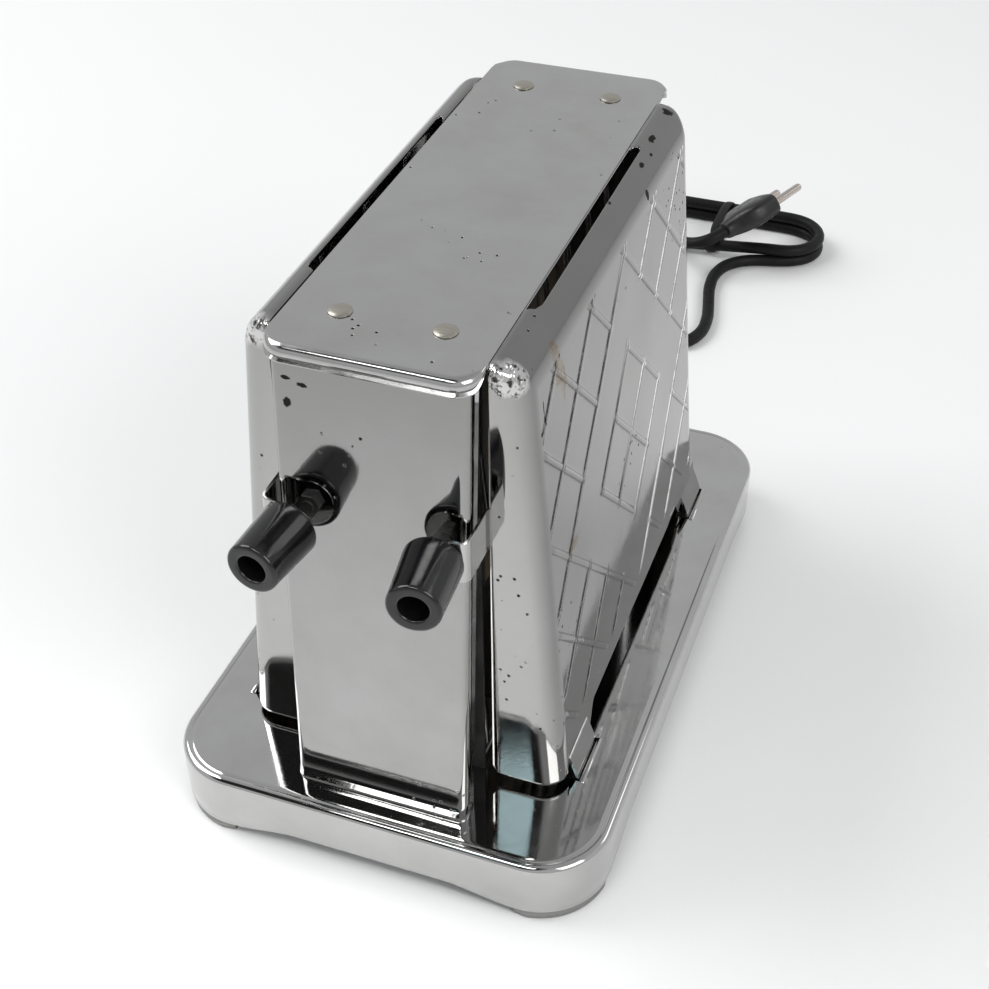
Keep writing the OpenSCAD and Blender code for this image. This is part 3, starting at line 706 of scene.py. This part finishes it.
def make_relief():
    """Tapered ribbed sleeve where the cord leaves the tray."""
    place = Matrix.Translation(Vector((0, 124.5, 14.5))) @ Matrix.Rotation(
        math.radians(-90), 4, "X")
    profile = [(0.01, 0), (5.0, 0)]
    for k in range(9):
        h = 1.2 + k * 2.5
        r = 5.0 - 1.2 * h / 24
        profile += [(r, h), (r, h + 1.3), (r - 0.5, h + 1.6), (r - 0.5, h + 2.2)]
    profile += [(3.75, 23.4), (3.6, 24), (0.01, 24)]
    return piece("relief_sleeve", *lathe(profile, place, 32), "cord", "body", "cord_rubber",
                 ["cord_relief"])


def make_tie():
    """Flat tie round the middle of the hank."""
    half_w, height, low = HANK_FOLD + CORD_R + 0.4, 12.6, 0.8
    x0 = HANK_MID[0] + 4
    around, section = 40, 12
    ring = []
    for k in range(around):
        a = 2 * math.pi * k / around
        c, s = math.cos(a), math.sin(a)
        ring.append(Vector((x0 + 0.6 * math.sin(3 * a),
                            HANK_MID[1] + half_w * keep_sign(c, 0.45),
                            low + (height / 2) * (1 + keep_sign(s, 0.55)))))
    rings = []
    for k, p in enumerate(ring):
        ahead = (ring[(k + 1) % around] - ring[k - 1]).normalized()
        side = ahead.cross(Vector((1, 0, 0))).normalized()
        rings.append([p + Vector((2.2 * math.cos(b), 0, 0)) + side * 0.5 * math.sin(b)
                      for b in [2 * math.pi * m / section for m in range(section)]])
    points, faces = loops(rings + [rings[0]], close_ends=False)
    return piece("hank_tie", points, faces, "cord", "body", "cord_rubber")


cord = make_cord()
plug, prongs = make_plug()
relief = make_relief()
tie = make_tie()


# ---- Base ----

SKIRT_LOW, ARCH_RISE, ARCH_RUN = 4.0, 3.5, 26.0


def skirt_edge(along, corner_gap=0.5):
    """Height of the skirt's lower edge at a distance along a side from its corner."""
    f = min(max((along - corner_gap) / ARCH_RUN, 0.0), 1.0)
    return SKIRT_LOW + ARCH_RISE * (1 - math.cos(math.pi * f)) / 2


def make_base():
    """Pressed tray: mirror top, rolled rim, skirt with a hem, arched between its corners."""
    top_rings = [(60, 0), (40, 0), (24, 0), (14, 0), (8, 0), (5.0, 0), (4.0, 0), (3.5, -0.08),
                 (3.2, -0.22), (2.95, -0.22), (2.7, -0.05), (2.4, 0.0)]
    top_rings += [(2.4 - x, y - 2.5) for x, y in arc(0, 0, 2.5, 78, 12, 8)]
    rings = []
    for inset, rise in top_rings:
        inset = max(inset, 0.05)
        ring = outline(BASE_W, BASE_L, BASE_R, min(inset, BASE_W / 2 - 3), (40, 60), 16)
        rings.append([(x, y, BASE_H + rise) for x, y, _ in ring])
    skirt = [(0.0, 22.5), (0.02, 20), (0.0, 17), (0.05, 14), (0.0, 11.5)]
    for inset, z in skirt:
        ring = outline(BASE_W, BASE_L, BASE_R, inset, (40, 60), 16)
        rings.append([(x, y, z) for x, y, _ in ring])
    hem = [(0.0, 3.0), (0.15, 2.4), (0.05, 1.9), (0.0, 1.2), (0.1, 0.5), (0.45, 0.0),
           (1.1, 0.2), (1.2, 1.2)]
    for inset, above in hem:
        ring = outline(BASE_W, BASE_L, BASE_R, inset, (40, 60), 16)
        rings.append([(x, y, skirt_edge(along) + above) for x, y, along in ring])
    points, faces = loops(rings, close_ends=False)
    faces.append(tuple(range(len(rings[0]))))
    tray = piece("tray", points, faces, "base", "body", "chrome", ["base_tray"])
    solid_sheet(tray, 0.8)
    boxes = []
    for side, end in CORNERS:
        xs = sorted((side * SLOT_X[0], side * SLOT_X[1]))
        ys = sorted((end * SLOT_Y[0], end * SLOT_Y[1]))
        boxes.append(((xs[0], ys[0], BASE_H - 3), (xs[1], ys[1], BASE_H + 3)))
    boxes.append(((-4.4, BASE_L / 2 - 3, 10.1), (4.4, BASE_L / 2 + 3, 18.9)))
    cut_boxes(tray, boxes)
    shape = ([], [])
    half = (SLOT_Y[1] - SLOT_Y[0]) / 2 + 0.2
    bead = [(0.01, -half), (1.0, -half), (BEAD_R, -half + 0.3), (BEAD_R, half - 0.3),
            (1.0, half), (0.01, half)]
    for side, end in CORNERS:
        mid = end * (SLOT_Y[0] + SLOT_Y[1]) / 2
        place = Matrix.Translation(Vector((side * HINGE_X, mid, HINGE_Z))) @ Matrix.Rotation(
            math.radians(90), 4, "X")
        shape = both(shape, lathe(bead, place, 20))
    piece("hinge_beads", *shape, "base", "body", "chrome")


def make_feet():
    """Dark curved pads standing out under the skirt's corners; their dark colour is partly
    painted shade.
    """
    shape = ([], [])
    profile = [(19.0, 6.4), (18.9, 3), (18.9, 0.6), (19.4, 0.05), (22.6, 0.02), (23.4, 0.25),
               (23.9, 0.9), (24.05, 1.9), (23.9, 2.8), (23.4, 3.5), (23.2, 4.0), (23.2, 6.4)]
    cx, cy = BASE_W / 2 - BASE_R, BASE_L / 2 - BASE_R
    steps, middle_r = 24, 21
    for sx, sy in CORNERS:
        rings = []
        for k in range(steps + 1):
            a = math.radians(-4 + 98 * k / steps)
            fade = min(1.0, 0.72 + 0.28 * min(k, steps - k) / 3)
            rings.append([(sx * (cx + (middle_r + (r - middle_r) * fade) * math.cos(a)),
                           sy * (cy + (middle_r + (r - middle_r) * fade) * math.sin(a)), z)
                          for r, z in profile])
        shape = both(shape, loops(rings))
    piece("corner_pads", *shape, "foot", "body", "foot_metal", ["corner_feet"])


# ---- Shell ----

def make_top_plate():
    """Flat top; its lip is rolled deep at both ends and is tight beside the doors."""
    rim = outline(TOP_W, TOP_L, TOP_R, 0, (30, 60), 14)
    inner = outline(TOP_W, TOP_L, TOP_R, 1, (30, 60), 14)
    rings = [[(x, y, BODY_H) for x, y, _ in outline(TOP_W, TOP_L, TOP_R, inset, (30, 60), 14)]
             for inset in (30, 22, 14, 8, 5, 3.6)]

    def at_end(y):
        return step_up(abs(y), TOP_L / 2 - TOP_R - 2, TOP_L / 2 - TOP_R + 5)

    section = [(1 - math.cos(math.radians(a)), 1 - math.sin(math.radians(a)), 0)
               for a in range(90, -1, -10)]
    section += [(0.05, 1, 0.2), (0.16, 1, 0.4), (0.22, 1, 0.55), (0.08, 1, 0.68), (-0.05, 1, 0.8),
                (-0.02, 1, 0.92), (0.12, 1, 1.0), (0.35, 1, 0.97), (0.4, 1, 0.7)]
    for inset, down, skirt in section:
        ring = []
        for (x, y, _), (xi, yi, _) in zip(rim, inner):
            f = at_end(y)
            roll, skirt_h = 0.55 + 2.2 * f, 0.7 + 2.2 * f
            ring.append((x + (xi - x) * inset * roll, y + (yi - y) * inset * roll,
                         BODY_H - down * roll - skirt * skirt_h))
        rings.append(ring)
    points, faces = loops(rings, close_ends=False)
    faces.append(tuple(range(len(rings[0]))))
    plate = piece("top_cover", points, faces, "top", "body", "chrome", ["top_plate"])
    solid_sheet(plate, 0.5)


def make_rivets():
    """Low domed rivet heads near the top's corners."""
    shape = ([], [])
    profile = [(0.01, -2.5), (1.6, -2.5), (1.6, -0.02), (3.5, -0.02), (3.68, 0.12), (3.6, 0.4),
               (3.2, 0.68), (2.4, 0.9), (1.4, 1.0), (0.5, 1.04), (0.01, 1.05)]
    for sx, sy in CORNERS:
        place = Matrix.Translation(Vector((sx * RIVET_X, sy * RIVET_Y, BODY_H)))
        shape = both(shape, lathe(profile, place, 36))
    piece("rivet_heads", *shape, "rivet", "body", "rivet_metal", ["top_rivets"])


def make_panel(end, name, node, depth):
    """Channel-shaped end panel with rounded upright edges, leaning outward to its foot."""
    half, r = PANEL_W / 2, 3.0
    section = [(-half, depth), (-half, depth * 0.5), (-half, r + 0.5)]
    section += arc(-half + r, r, r, 180, 270, 8)
    section += [(-half + r + (2 * half - 2 * r) * k / 24, 0) for k in range(1, 24)]
    section += arc(half - r, r, r, 270, 360, 8)
    section += [(half, r + 0.5), (half, depth * 0.5), (half, depth)]
    rows = 44
    points = []
    for i in range(rows + 1):
        f = i / rows
        z = BASE_H + 0.05 + (PANEL_TOP_Z - BASE_H - 0.1) * f
        face_y = -PANEL_FOOT_Y + (z - BASE_H) * math.tan(PANEL_LEAN)
        flare = 1.0 * max(0, 1 - (z - BASE_H) / 2.2) ** 2
        for x, y in section:
            crown = 0.22 * (1 - (x / half) ** 2) * math.sin(math.pi * f) if y == 0 else 0
            points.append((x, -end * (face_y + y - crown - (flare if y < 2 else 0)), z))
    faces = grid(rows + 1, len(section))
    panel = piece(name, points, faces, "panel", "body", "chrome", [node])
    bend_outward(panel, Vector((0, (PANEL_TOP_Y - 60) * end, 110)))
    solid_sheet(panel, 0.8)


def bend_outward(obj, inside):
    """Turns an open sheet's faces to look away from a point in tray mm."""
    inside = inside * MM + CENTRE
    mesh = bmesh.new()
    mesh.from_mesh(obj.data)
    facing = sum((f.calc_center_median() - inside).dot(f.normal) * f.calc_area()
                 for f in mesh.faces)
    if facing < 0:
        bmesh.ops.reverse_faces(mesh, faces=mesh.faces)
    mesh.to_mesh(obj.data)
    mesh.free()


# ---- Doors ----

DOOR_ROUND, DOOR_CORNER, DOOR_TOP_EDGE = 12.0, 9.0, 3.5
VENT_Y, VENT_X = (-55.5, 46.0), DOOR_IN_X + 3.4
CUT_HALF, CUT_TOP, CUT_SLOPE = 61.0, BASE_H + 11, 7.0
CUT_BLEND_Z = 62  # below this height a door's rows follow its cut-up lower edge
COLUMN_STEP, FACE_ROWS = 0.84, 184
TAB_CURL_R = 1.69


def door_x(z):
    """Where a door's sloping outer face is at a height."""
    return DOOR_FOOT_X - (z - BASE_H) * math.tan(DOOR_LEAN)


def lattice(y, z):
    """Height of the pressed diagonal beads: a lattice with a plain band round its middle."""
    a, b = y - LATTICE_MID[0], (z - LATTICE_MID[1]) / math.cos(DOOR_LEAN)
    u, v = (a - b) / math.sqrt(2), (a + b) / math.sqrt(2)
    inside = min(y - LATTICE_Y[0], LATTICE_Y[1] - y, z - LATTICE_Z[0], LATTICE_Z[1] - z)
    if inside < 0:
        return 0.0
    height = 0.0
    for across, along in ((u, v), (v, u)):
        line = round(across / CELL)
        off = abs(across - line * CELL)
        if off >= BEAD_HALF or abs(line) > 4:
            continue
        fade = 1.0
        if abs(line) < 2:
            ends = abs(along) / CELL
            if 1 < ends < 2:
                fade = max(1 - (ends - 1) * 9, 1 - (2 - ends) * 9, 0.0)
        fade *= min(inside / 1.5, 1.0)
        height = max(height, fade * min(1.6 * math.cos(math.pi * off / BEAD_HALF / 2) ** 2, 1))
    return BEAD_HIGH * height


def door_profile():
    """(x, z) points from the flange's inner edge over the rounded top and down the face."""
    cz = BODY_H - DOOR_ROUND
    cx = door_x(cz) - DOOR_ROUND / math.cos(DOOR_LEAN)
    lean = math.degrees(DOOR_LEAN)
    points = [(DOOR_IN_X, BODY_H - 0.02), (34.2, BODY_H - 0.12), (35.4, BODY_H - 0.3)]
    points.append((VENT_X, cz + math.sqrt(DOOR_ROUND ** 2 - (VENT_X - cx) ** 2)))
    start = math.degrees(math.acos((VENT_X - cx) / DOOR_ROUND))
    points += arc(cx, cz, DOOR_ROUND, start, lean, 22)[1:]
    top_z = points[-1][1]
    heights = [top_z + (DOOR_LOW - top_z) * k / FACE_ROWS for k in range(1, FACE_ROWS + 1)]
    return points + [(door_x(z), z) for z in heights]


def door_columns():
    """Stations along a door, as (kind, end, t); t is y on the face, a fraction elsewhere."""
    ys = list(np.arange(-DOOR_FRONT + DOOR_CORNER, DOOR_REAR - DOOR_CORNER + 0.1,
                        COLUMN_STEP))
    ys += [VENT_Y[0], VENT_Y[1], -CUT_HALF, CUT_HALF]
    ys = sorted(set(round(float(y), 3) for y in ys))
    ys = [y for i, y in enumerate(ys) if i == 0 or y - ys[i - 1] > 0.2 or y in VENT_Y]
    columns = [("flange", -1, k / 8) for k in range(9)]
    columns += [("corner", -1, k / 12) for k in range(1, 13)]
    columns += [("face", 0, y) for y in ys[1:-1]]
    columns += [("corner", 1, 1 - k / 12) for k in range(13)]
    columns += [("flange", 1, 1 - k / 6) for k in range(1, 7)]
    return columns


def top_inset(z):
    """How far a door's ends stand back where its top edge rounds over."""
    over = max(z - (BODY_H - DOOR_TOP_EDGE), 0)
    return DOOR_TOP_EDGE - math.sqrt(max(DOOR_TOP_EDGE ** 2 - over ** 2, 0))


def make_door(side, name):
    """Pressed door: rounded top with a vent, beaded face, flanged ends, cut-up lower edge."""
    profile, columns = door_profile(), door_columns()
    points = []
    for x_out, z in profile:
        reach = x_out - DOOR_IN_X
        corner = min(DOOR_CORNER, 0.8 * reach + 0.02)
        front, rear = DOOR_FRONT - top_inset(z), DOOR_REAR - top_inset(z)
        if reach < 8 and z > BODY_H - 6:
            rear -= 8 - math.sqrt(64 - (8 - reach) ** 2)
        for kind, end, t in columns:
            y_end = -front if end < 0 else rear
            inward = 1 if end < 0 else -1
            if kind == "flange":
                x, y = DOOR_IN_X + (reach - corner) * t, y_end
            elif kind == "corner":
                a = math.radians(90 * t)
                x = x_out - corner + corner * math.sin(a)
                y = y_end + inward * corner * (1 - math.cos(a))
            elif corner > 2:
                x, y = x_out, t
            else:
                x = x_out
                f = (t + DOOR_FRONT - DOOR_CORNER) / (DOOR_FRONT + DOOR_REAR - 2 * DOOR_CORNER)
                y = (-front + corner) + (rear - corner + front - corner) * f
            low = DOOR_LOW
            if kind == "face":
                low += (CUT_TOP - DOOR_LOW) * step_up(CUT_HALF - abs(t), 0, CUT_SLOPE)
            elif kind == "flange":
                low += 4 * (1 - math.sqrt(1 - max(0, 1 - t * 6) ** 2)) if t < 1 / 6 else 0
            zz = z
            if z < CUT_BLEND_Z:
                zz = low + (z - DOOR_LOW) * (CUT_BLEND_Z - low) / (CUT_BLEND_Z - DOOR_LOW)
            if kind == "face":
                lift = lattice(y, zz) if LATTICE_Z[0] < zz < LATTICE_Z[1] else 0
                x += lift + (z - zz) * math.tan(DOOR_LEAN)
                dent = noise.noise(Vector((y * 0.03 + side * 9, zz * 0.03, 3.1))) * 0.22
                x += dent * step_up(min(y + 91, 84 - y), 8, 30) * step_up(180 - zz, 0, 25)
            points.append((side * x, y, zz))
    faces = grid(len(profile), len(columns), lambda i, j: not (
        profile[i + 1][0] <= VENT_X + 0.01 and i < 4 and columns[j][0] == "face"
        and columns[j + 1][0] == "face"
        and VENT_Y[0] - 0.01 <= columns[j][2] and columns[j + 1][2] <= VENT_Y[1] + 0.01))
    door = piece(name + "_shell", points, faces, "door", name, "chrome", [name], smooth=50)
    bend_outward(door, Vector((side * 36, 0, 110)))
    solid_sheet(door)
    piece(name + "_tabs", *tab_shape(side), "base", name, "chrome")


def tab_shape(side):
    """Hinge tabs: a tongue from the door's lower edge that curls round the bead in its slot."""
    curl = [(HINGE_X + TAB_CURL_R * math.cos(math.radians(a)),
             HINGE_Z + TAB_CURL_R * math.sin(math.radians(a))) for a in range(-40, -181, -14)]
    line = curl + [(59.4, 26.6), (59.1, 27.6), (58.3, 30.0), (57.2, 33.0), (door_x(36) - 0.5, 36),
                   (door_x(40) - 0.5, 40)]
    shape = ([], [])
    for end in (-1, 1):
        y0, y1 = sorted((end * (SLOT_Y[0] + 0.6), end * (SLOT_Y[1] - 0.6)))
        rings = []
        for k, (x, z) in enumerate(line):
            ahead = Vector(line[min(k + 1, len(line) - 1)]) - Vector(line[max(k - 1, 0)])
            out = Vector((ahead.y, -ahead.x)).normalized() * 0.4
            rings.append([(side * (x + w * out.x), y, z + w * out.y)
                          for w, y in ((1, y0), (1, y1), (-1, y1), (-1, y0))])
        shape = both(shape, loops(rings))
    return shape


# ---- Handles ----

STRAP_HALF, STRAP_X, STRAP_BEND_R = 7.5, 32.0, 2.6


def knob_place(side):
    """Knob frame: Z out along the knob's axis, from the strap's front face."""
    place = (Matrix.Translation(Vector(KNOB_AT)) @ Matrix.Rotation(KNOB_SPLAY, 4, "Z")
             @ Matrix.Rotation(math.radians(90), 4, "X"))
    return Matrix.Diagonal((side, 1, 1, 1)) @ place


def make_strap(side, name, body):
    """Chromed strap: welded behind the door's flange, bent across in front of the panel."""
    along = Vector((-math.cos(KNOB_SPLAY), -math.sin(KNOB_SPLAY)))
    knob = Vector(KNOB_AT[:2]) + Vector((-along.y, along.x)) * -0.5
    meet = knob - along * ((STRAP_X - knob.x) / -along.x)
    path = [Vector((38.5, -90.0)), Vector((36, -90.0)), Vector((34.2, -90.3))]
    path += [Vector(p) for p in arc(34.2, -92.3, 2.2, 90, 180, 6)[1:]]
    path += [Vector((STRAP_X, y)) for y in (-95, -98, -101, -104)]
    path += [Vector((STRAP_X, meet.y + STRAP_BEND_R * 1.3))]
    corner, leg = meet, STRAP_BEND_R
    for k in range(1, 9):
        f = k / 9
        a, b, c = corner - Vector((0, -1)) * leg, corner, corner + along * leg
        path.append(a * (1 - f) ** 2 + b * 2 * f * (1 - f) + c * f * f)
    reach = (knob - (corner + along * leg)).length + STRAP_HALF
    steps = 26
    path += [corner + along * (leg + reach * (1 - (1 - k / steps) ** 1.6))
             for k in range(steps + 1)]
    centre_at = corner + along * (leg + reach - STRAP_HALF)
    rings = []
    for k, p in enumerate(path):
        ahead = (path[min(k + 1, len(path) - 1)] - path[max(k - 1, 0)]).normalized()
        out = Vector((ahead.y, -ahead.x)) * 0.5
        beyond = (p - centre_at).dot(along)
        half = STRAP_HALF
        if beyond > 0:
            half = max(math.sqrt(max(STRAP_HALF ** 2 - beyond ** 2, 0)), 0.4)
        if k < 3:
            half = STRAP_HALF - 0.5
        zs = [-half, -half + 0.25, half - 0.25, half]
        front = [(side * (p.x + out.x * w), p.y + out.y * w, KNOB_AT[2] + z)
                 for z, w in zip(zs, (0.6, 1, 1, 0.6))]
        back = [(side * (p.x - out.x * w), p.y - out.y * w, KNOB_AT[2] + z)
                for z, w in zip(reversed(zs), (0.6, 1, 1, 0.6))]
        rings.append(front + back)
    points, faces = loops(rings)
    piece(name + "_strap", points, faces, "strap", body, "chrome", [name])


def make_knob(side, name, body):
    """Tapered moulded knob with eased edges and a deep round hole in its tip."""
    r0, r1, h = KNOB_BASE_R, KNOB_TIP_R, KNOB_L
    profile = [(2.2, 0.0), (r0 - 1.6, 0.0)]
    profile += arc(r0 - 1.2, 1.2, 1.2, -80, 0, 7)
    profile += [(r0 + (r1 - r0) * f - 0.02, 1.2 + (h - 2.6) * f) for f in (0.15, 0.35, 0.6, 0.85)]
    profile += arc(r1 - 1.3, h - 1.3, 1.3, 0, 72, 8)
    profile += [(r1 - 1.5, h - 0.05), (KNOB_HOLE_R + 1.1, h - 0.12)]
    profile += arc(KNOB_HOLE_R + 0.9, h - 1.0, 0.9, 100, 180, 6)
    profile += [(KNOB_HOLE_R, h - 3), (KNOB_HOLE_R - 0.05, h - 12), (KNOB_HOLE_R - 0.6, h - 12.8),
                (2.2, h - 13), (2.2, 4), (2.2, 0.0)]
    points, faces = lathe(profile, knob_place(side), 64, close_ends=False)
    piece(name + "_grip", points, faces, "knob", body, "knob_plastic", [name], smooth=40)


make_base()
make_feet()
make_top_plate()
make_rivets()
make_panel(-1, "front_panel", "front_end_panel", 8.0)
make_panel(1, "rear_panel", "rear_end_panel", 17.0)
for side, label in ((-1, "left"), (1, "right")):
    make_door(side, label + "_door")
    make_strap(side, label + "_handle_bracket", label + "_door")
    make_knob(side, label + "_knob", label + "_door")


# ---- Floor, lights and surroundings ----

def make_floor():
    """Plain pale floor, far wider than the view."""
    n = Nodes("floor")
    tint = n.mix(n.noise(3, 3), (0.90, 0.90, 0.90), (0.92, 0.92, 0.92))
    n.done(tint, n.spread(n.noise(20, 3), 0, 1, 0.75, 0.85))
    n.set(Specular_IOR_Level=0.1)
    mesh = bpy.data.meshes.new("floor")
    mesh.from_pydata([(-3, -3, 0), (3, -3, 0), (3, 3, 0), (-3, 3, 0)], [], [(0, 1, 2, 3)])
    mesh.materials.append(n.material)
    new_object("floor", mesh)


def area_light(name, place, aim, size, power, colour=(1, 1, 1), spread=180):
    """Rectangular lamp at a place in metres, turned to its aim."""
    data = bpy.data.lights.new(name, "AREA")
    data.spread = math.radians(spread)
    data.shape = "RECTANGLE"
    data.size, data.size_y = size
    data.energy = power
    data.color = colour
    lamp = new_object(name, data)
    lamp.location = place
    lamp.rotation_euler = (Vector(aim) - Vector(place)).to_track_quat("-Z", "Y").to_euler()


def make_surroundings():
    """A pale room with a dark stretch of ceiling in front of the object."""
    world = bpy.data.worlds.new("room")
    bpy.context.scene.world = world
    world.use_nodes = True
    tree = world.node_tree
    back = tree.nodes["Background"]
    coord = tree.nodes.new("ShaderNodeTexCoord").outputs["Generated"]
    split = tree.nodes.new("ShaderNodeSeparateXYZ")
    tree.links.new(coord, split.inputs["Vector"])
    ramp = tree.nodes.new("ShaderNodeValToRGB")
    tree.links.new(split.outputs["Z"], ramp.inputs["Fac"])
    stops = ((0.0, 0.62), (0.2, 0.66), (0.5, 0.68), (0.7, 0.66), (0.85, 0.55), (1.0, 0.5))
    elements = ramp.color_ramp.elements
    while len(elements) < len(stops):
        elements.new(0.5)
    for element, (at, level) in zip(elements, stops):
        element.position = at
        element.color = (level * 0.99, level, level * 1.01, 1)
    facing = tree.nodes.new("ShaderNodeVectorMath")
    facing.operation = "DOT_PRODUCT"
    tree.links.new(coord, facing.inputs[0])
    facing.inputs[1].default_value = Vector((-0.2, -0.52, 0.83)).normalized()
    dark = tree.nodes.new("ShaderNodeMapRange")
    for key, value in (("From Min", 0.86), ("From Max", 0.95), ("To Min", 1.0), ("To Max", 0.05)):
        dark.inputs[key].default_value = value
    dark.interpolation_type = "SMOOTHSTEP"
    tree.links.new(facing.outputs["Value"], dark.inputs["Value"])
    tree.links.new(ramp.outputs["Color"], back.inputs["Color"])
    tree.links.new(dark.outputs["Result"], back.inputs["Strength"])


make_floor()
make_surroundings()
area_light("key_soft", (-1.3, 0.0, 1.45), (0, 0, 0.08), (1.1, 1.1), 18)
area_light("fill_soft", (1.3, -0.7, 1.2), (0, 0, 0.08), (0.9, 0.9), 11)
area_light("rim_soft", (1.5, 1.2, 1.5), (0, 0, 0.08), (0.8, 0.5), 2.5)
area_light("front_pool", (-0.05, -0.34, 0.55), (0, -0.17, 0), (0.30, 0.06), 0.11, spread=60)
area_light("window", (-0.255, -0.96, 1.155), (0.04, -0.09, 0.04), (0.12, 0.15), 0.11,
           (0.68, 0.93, 1.0))
view = bpy.context.scene.view_settings
view.view_transform = "Standard"
view.look = "None"
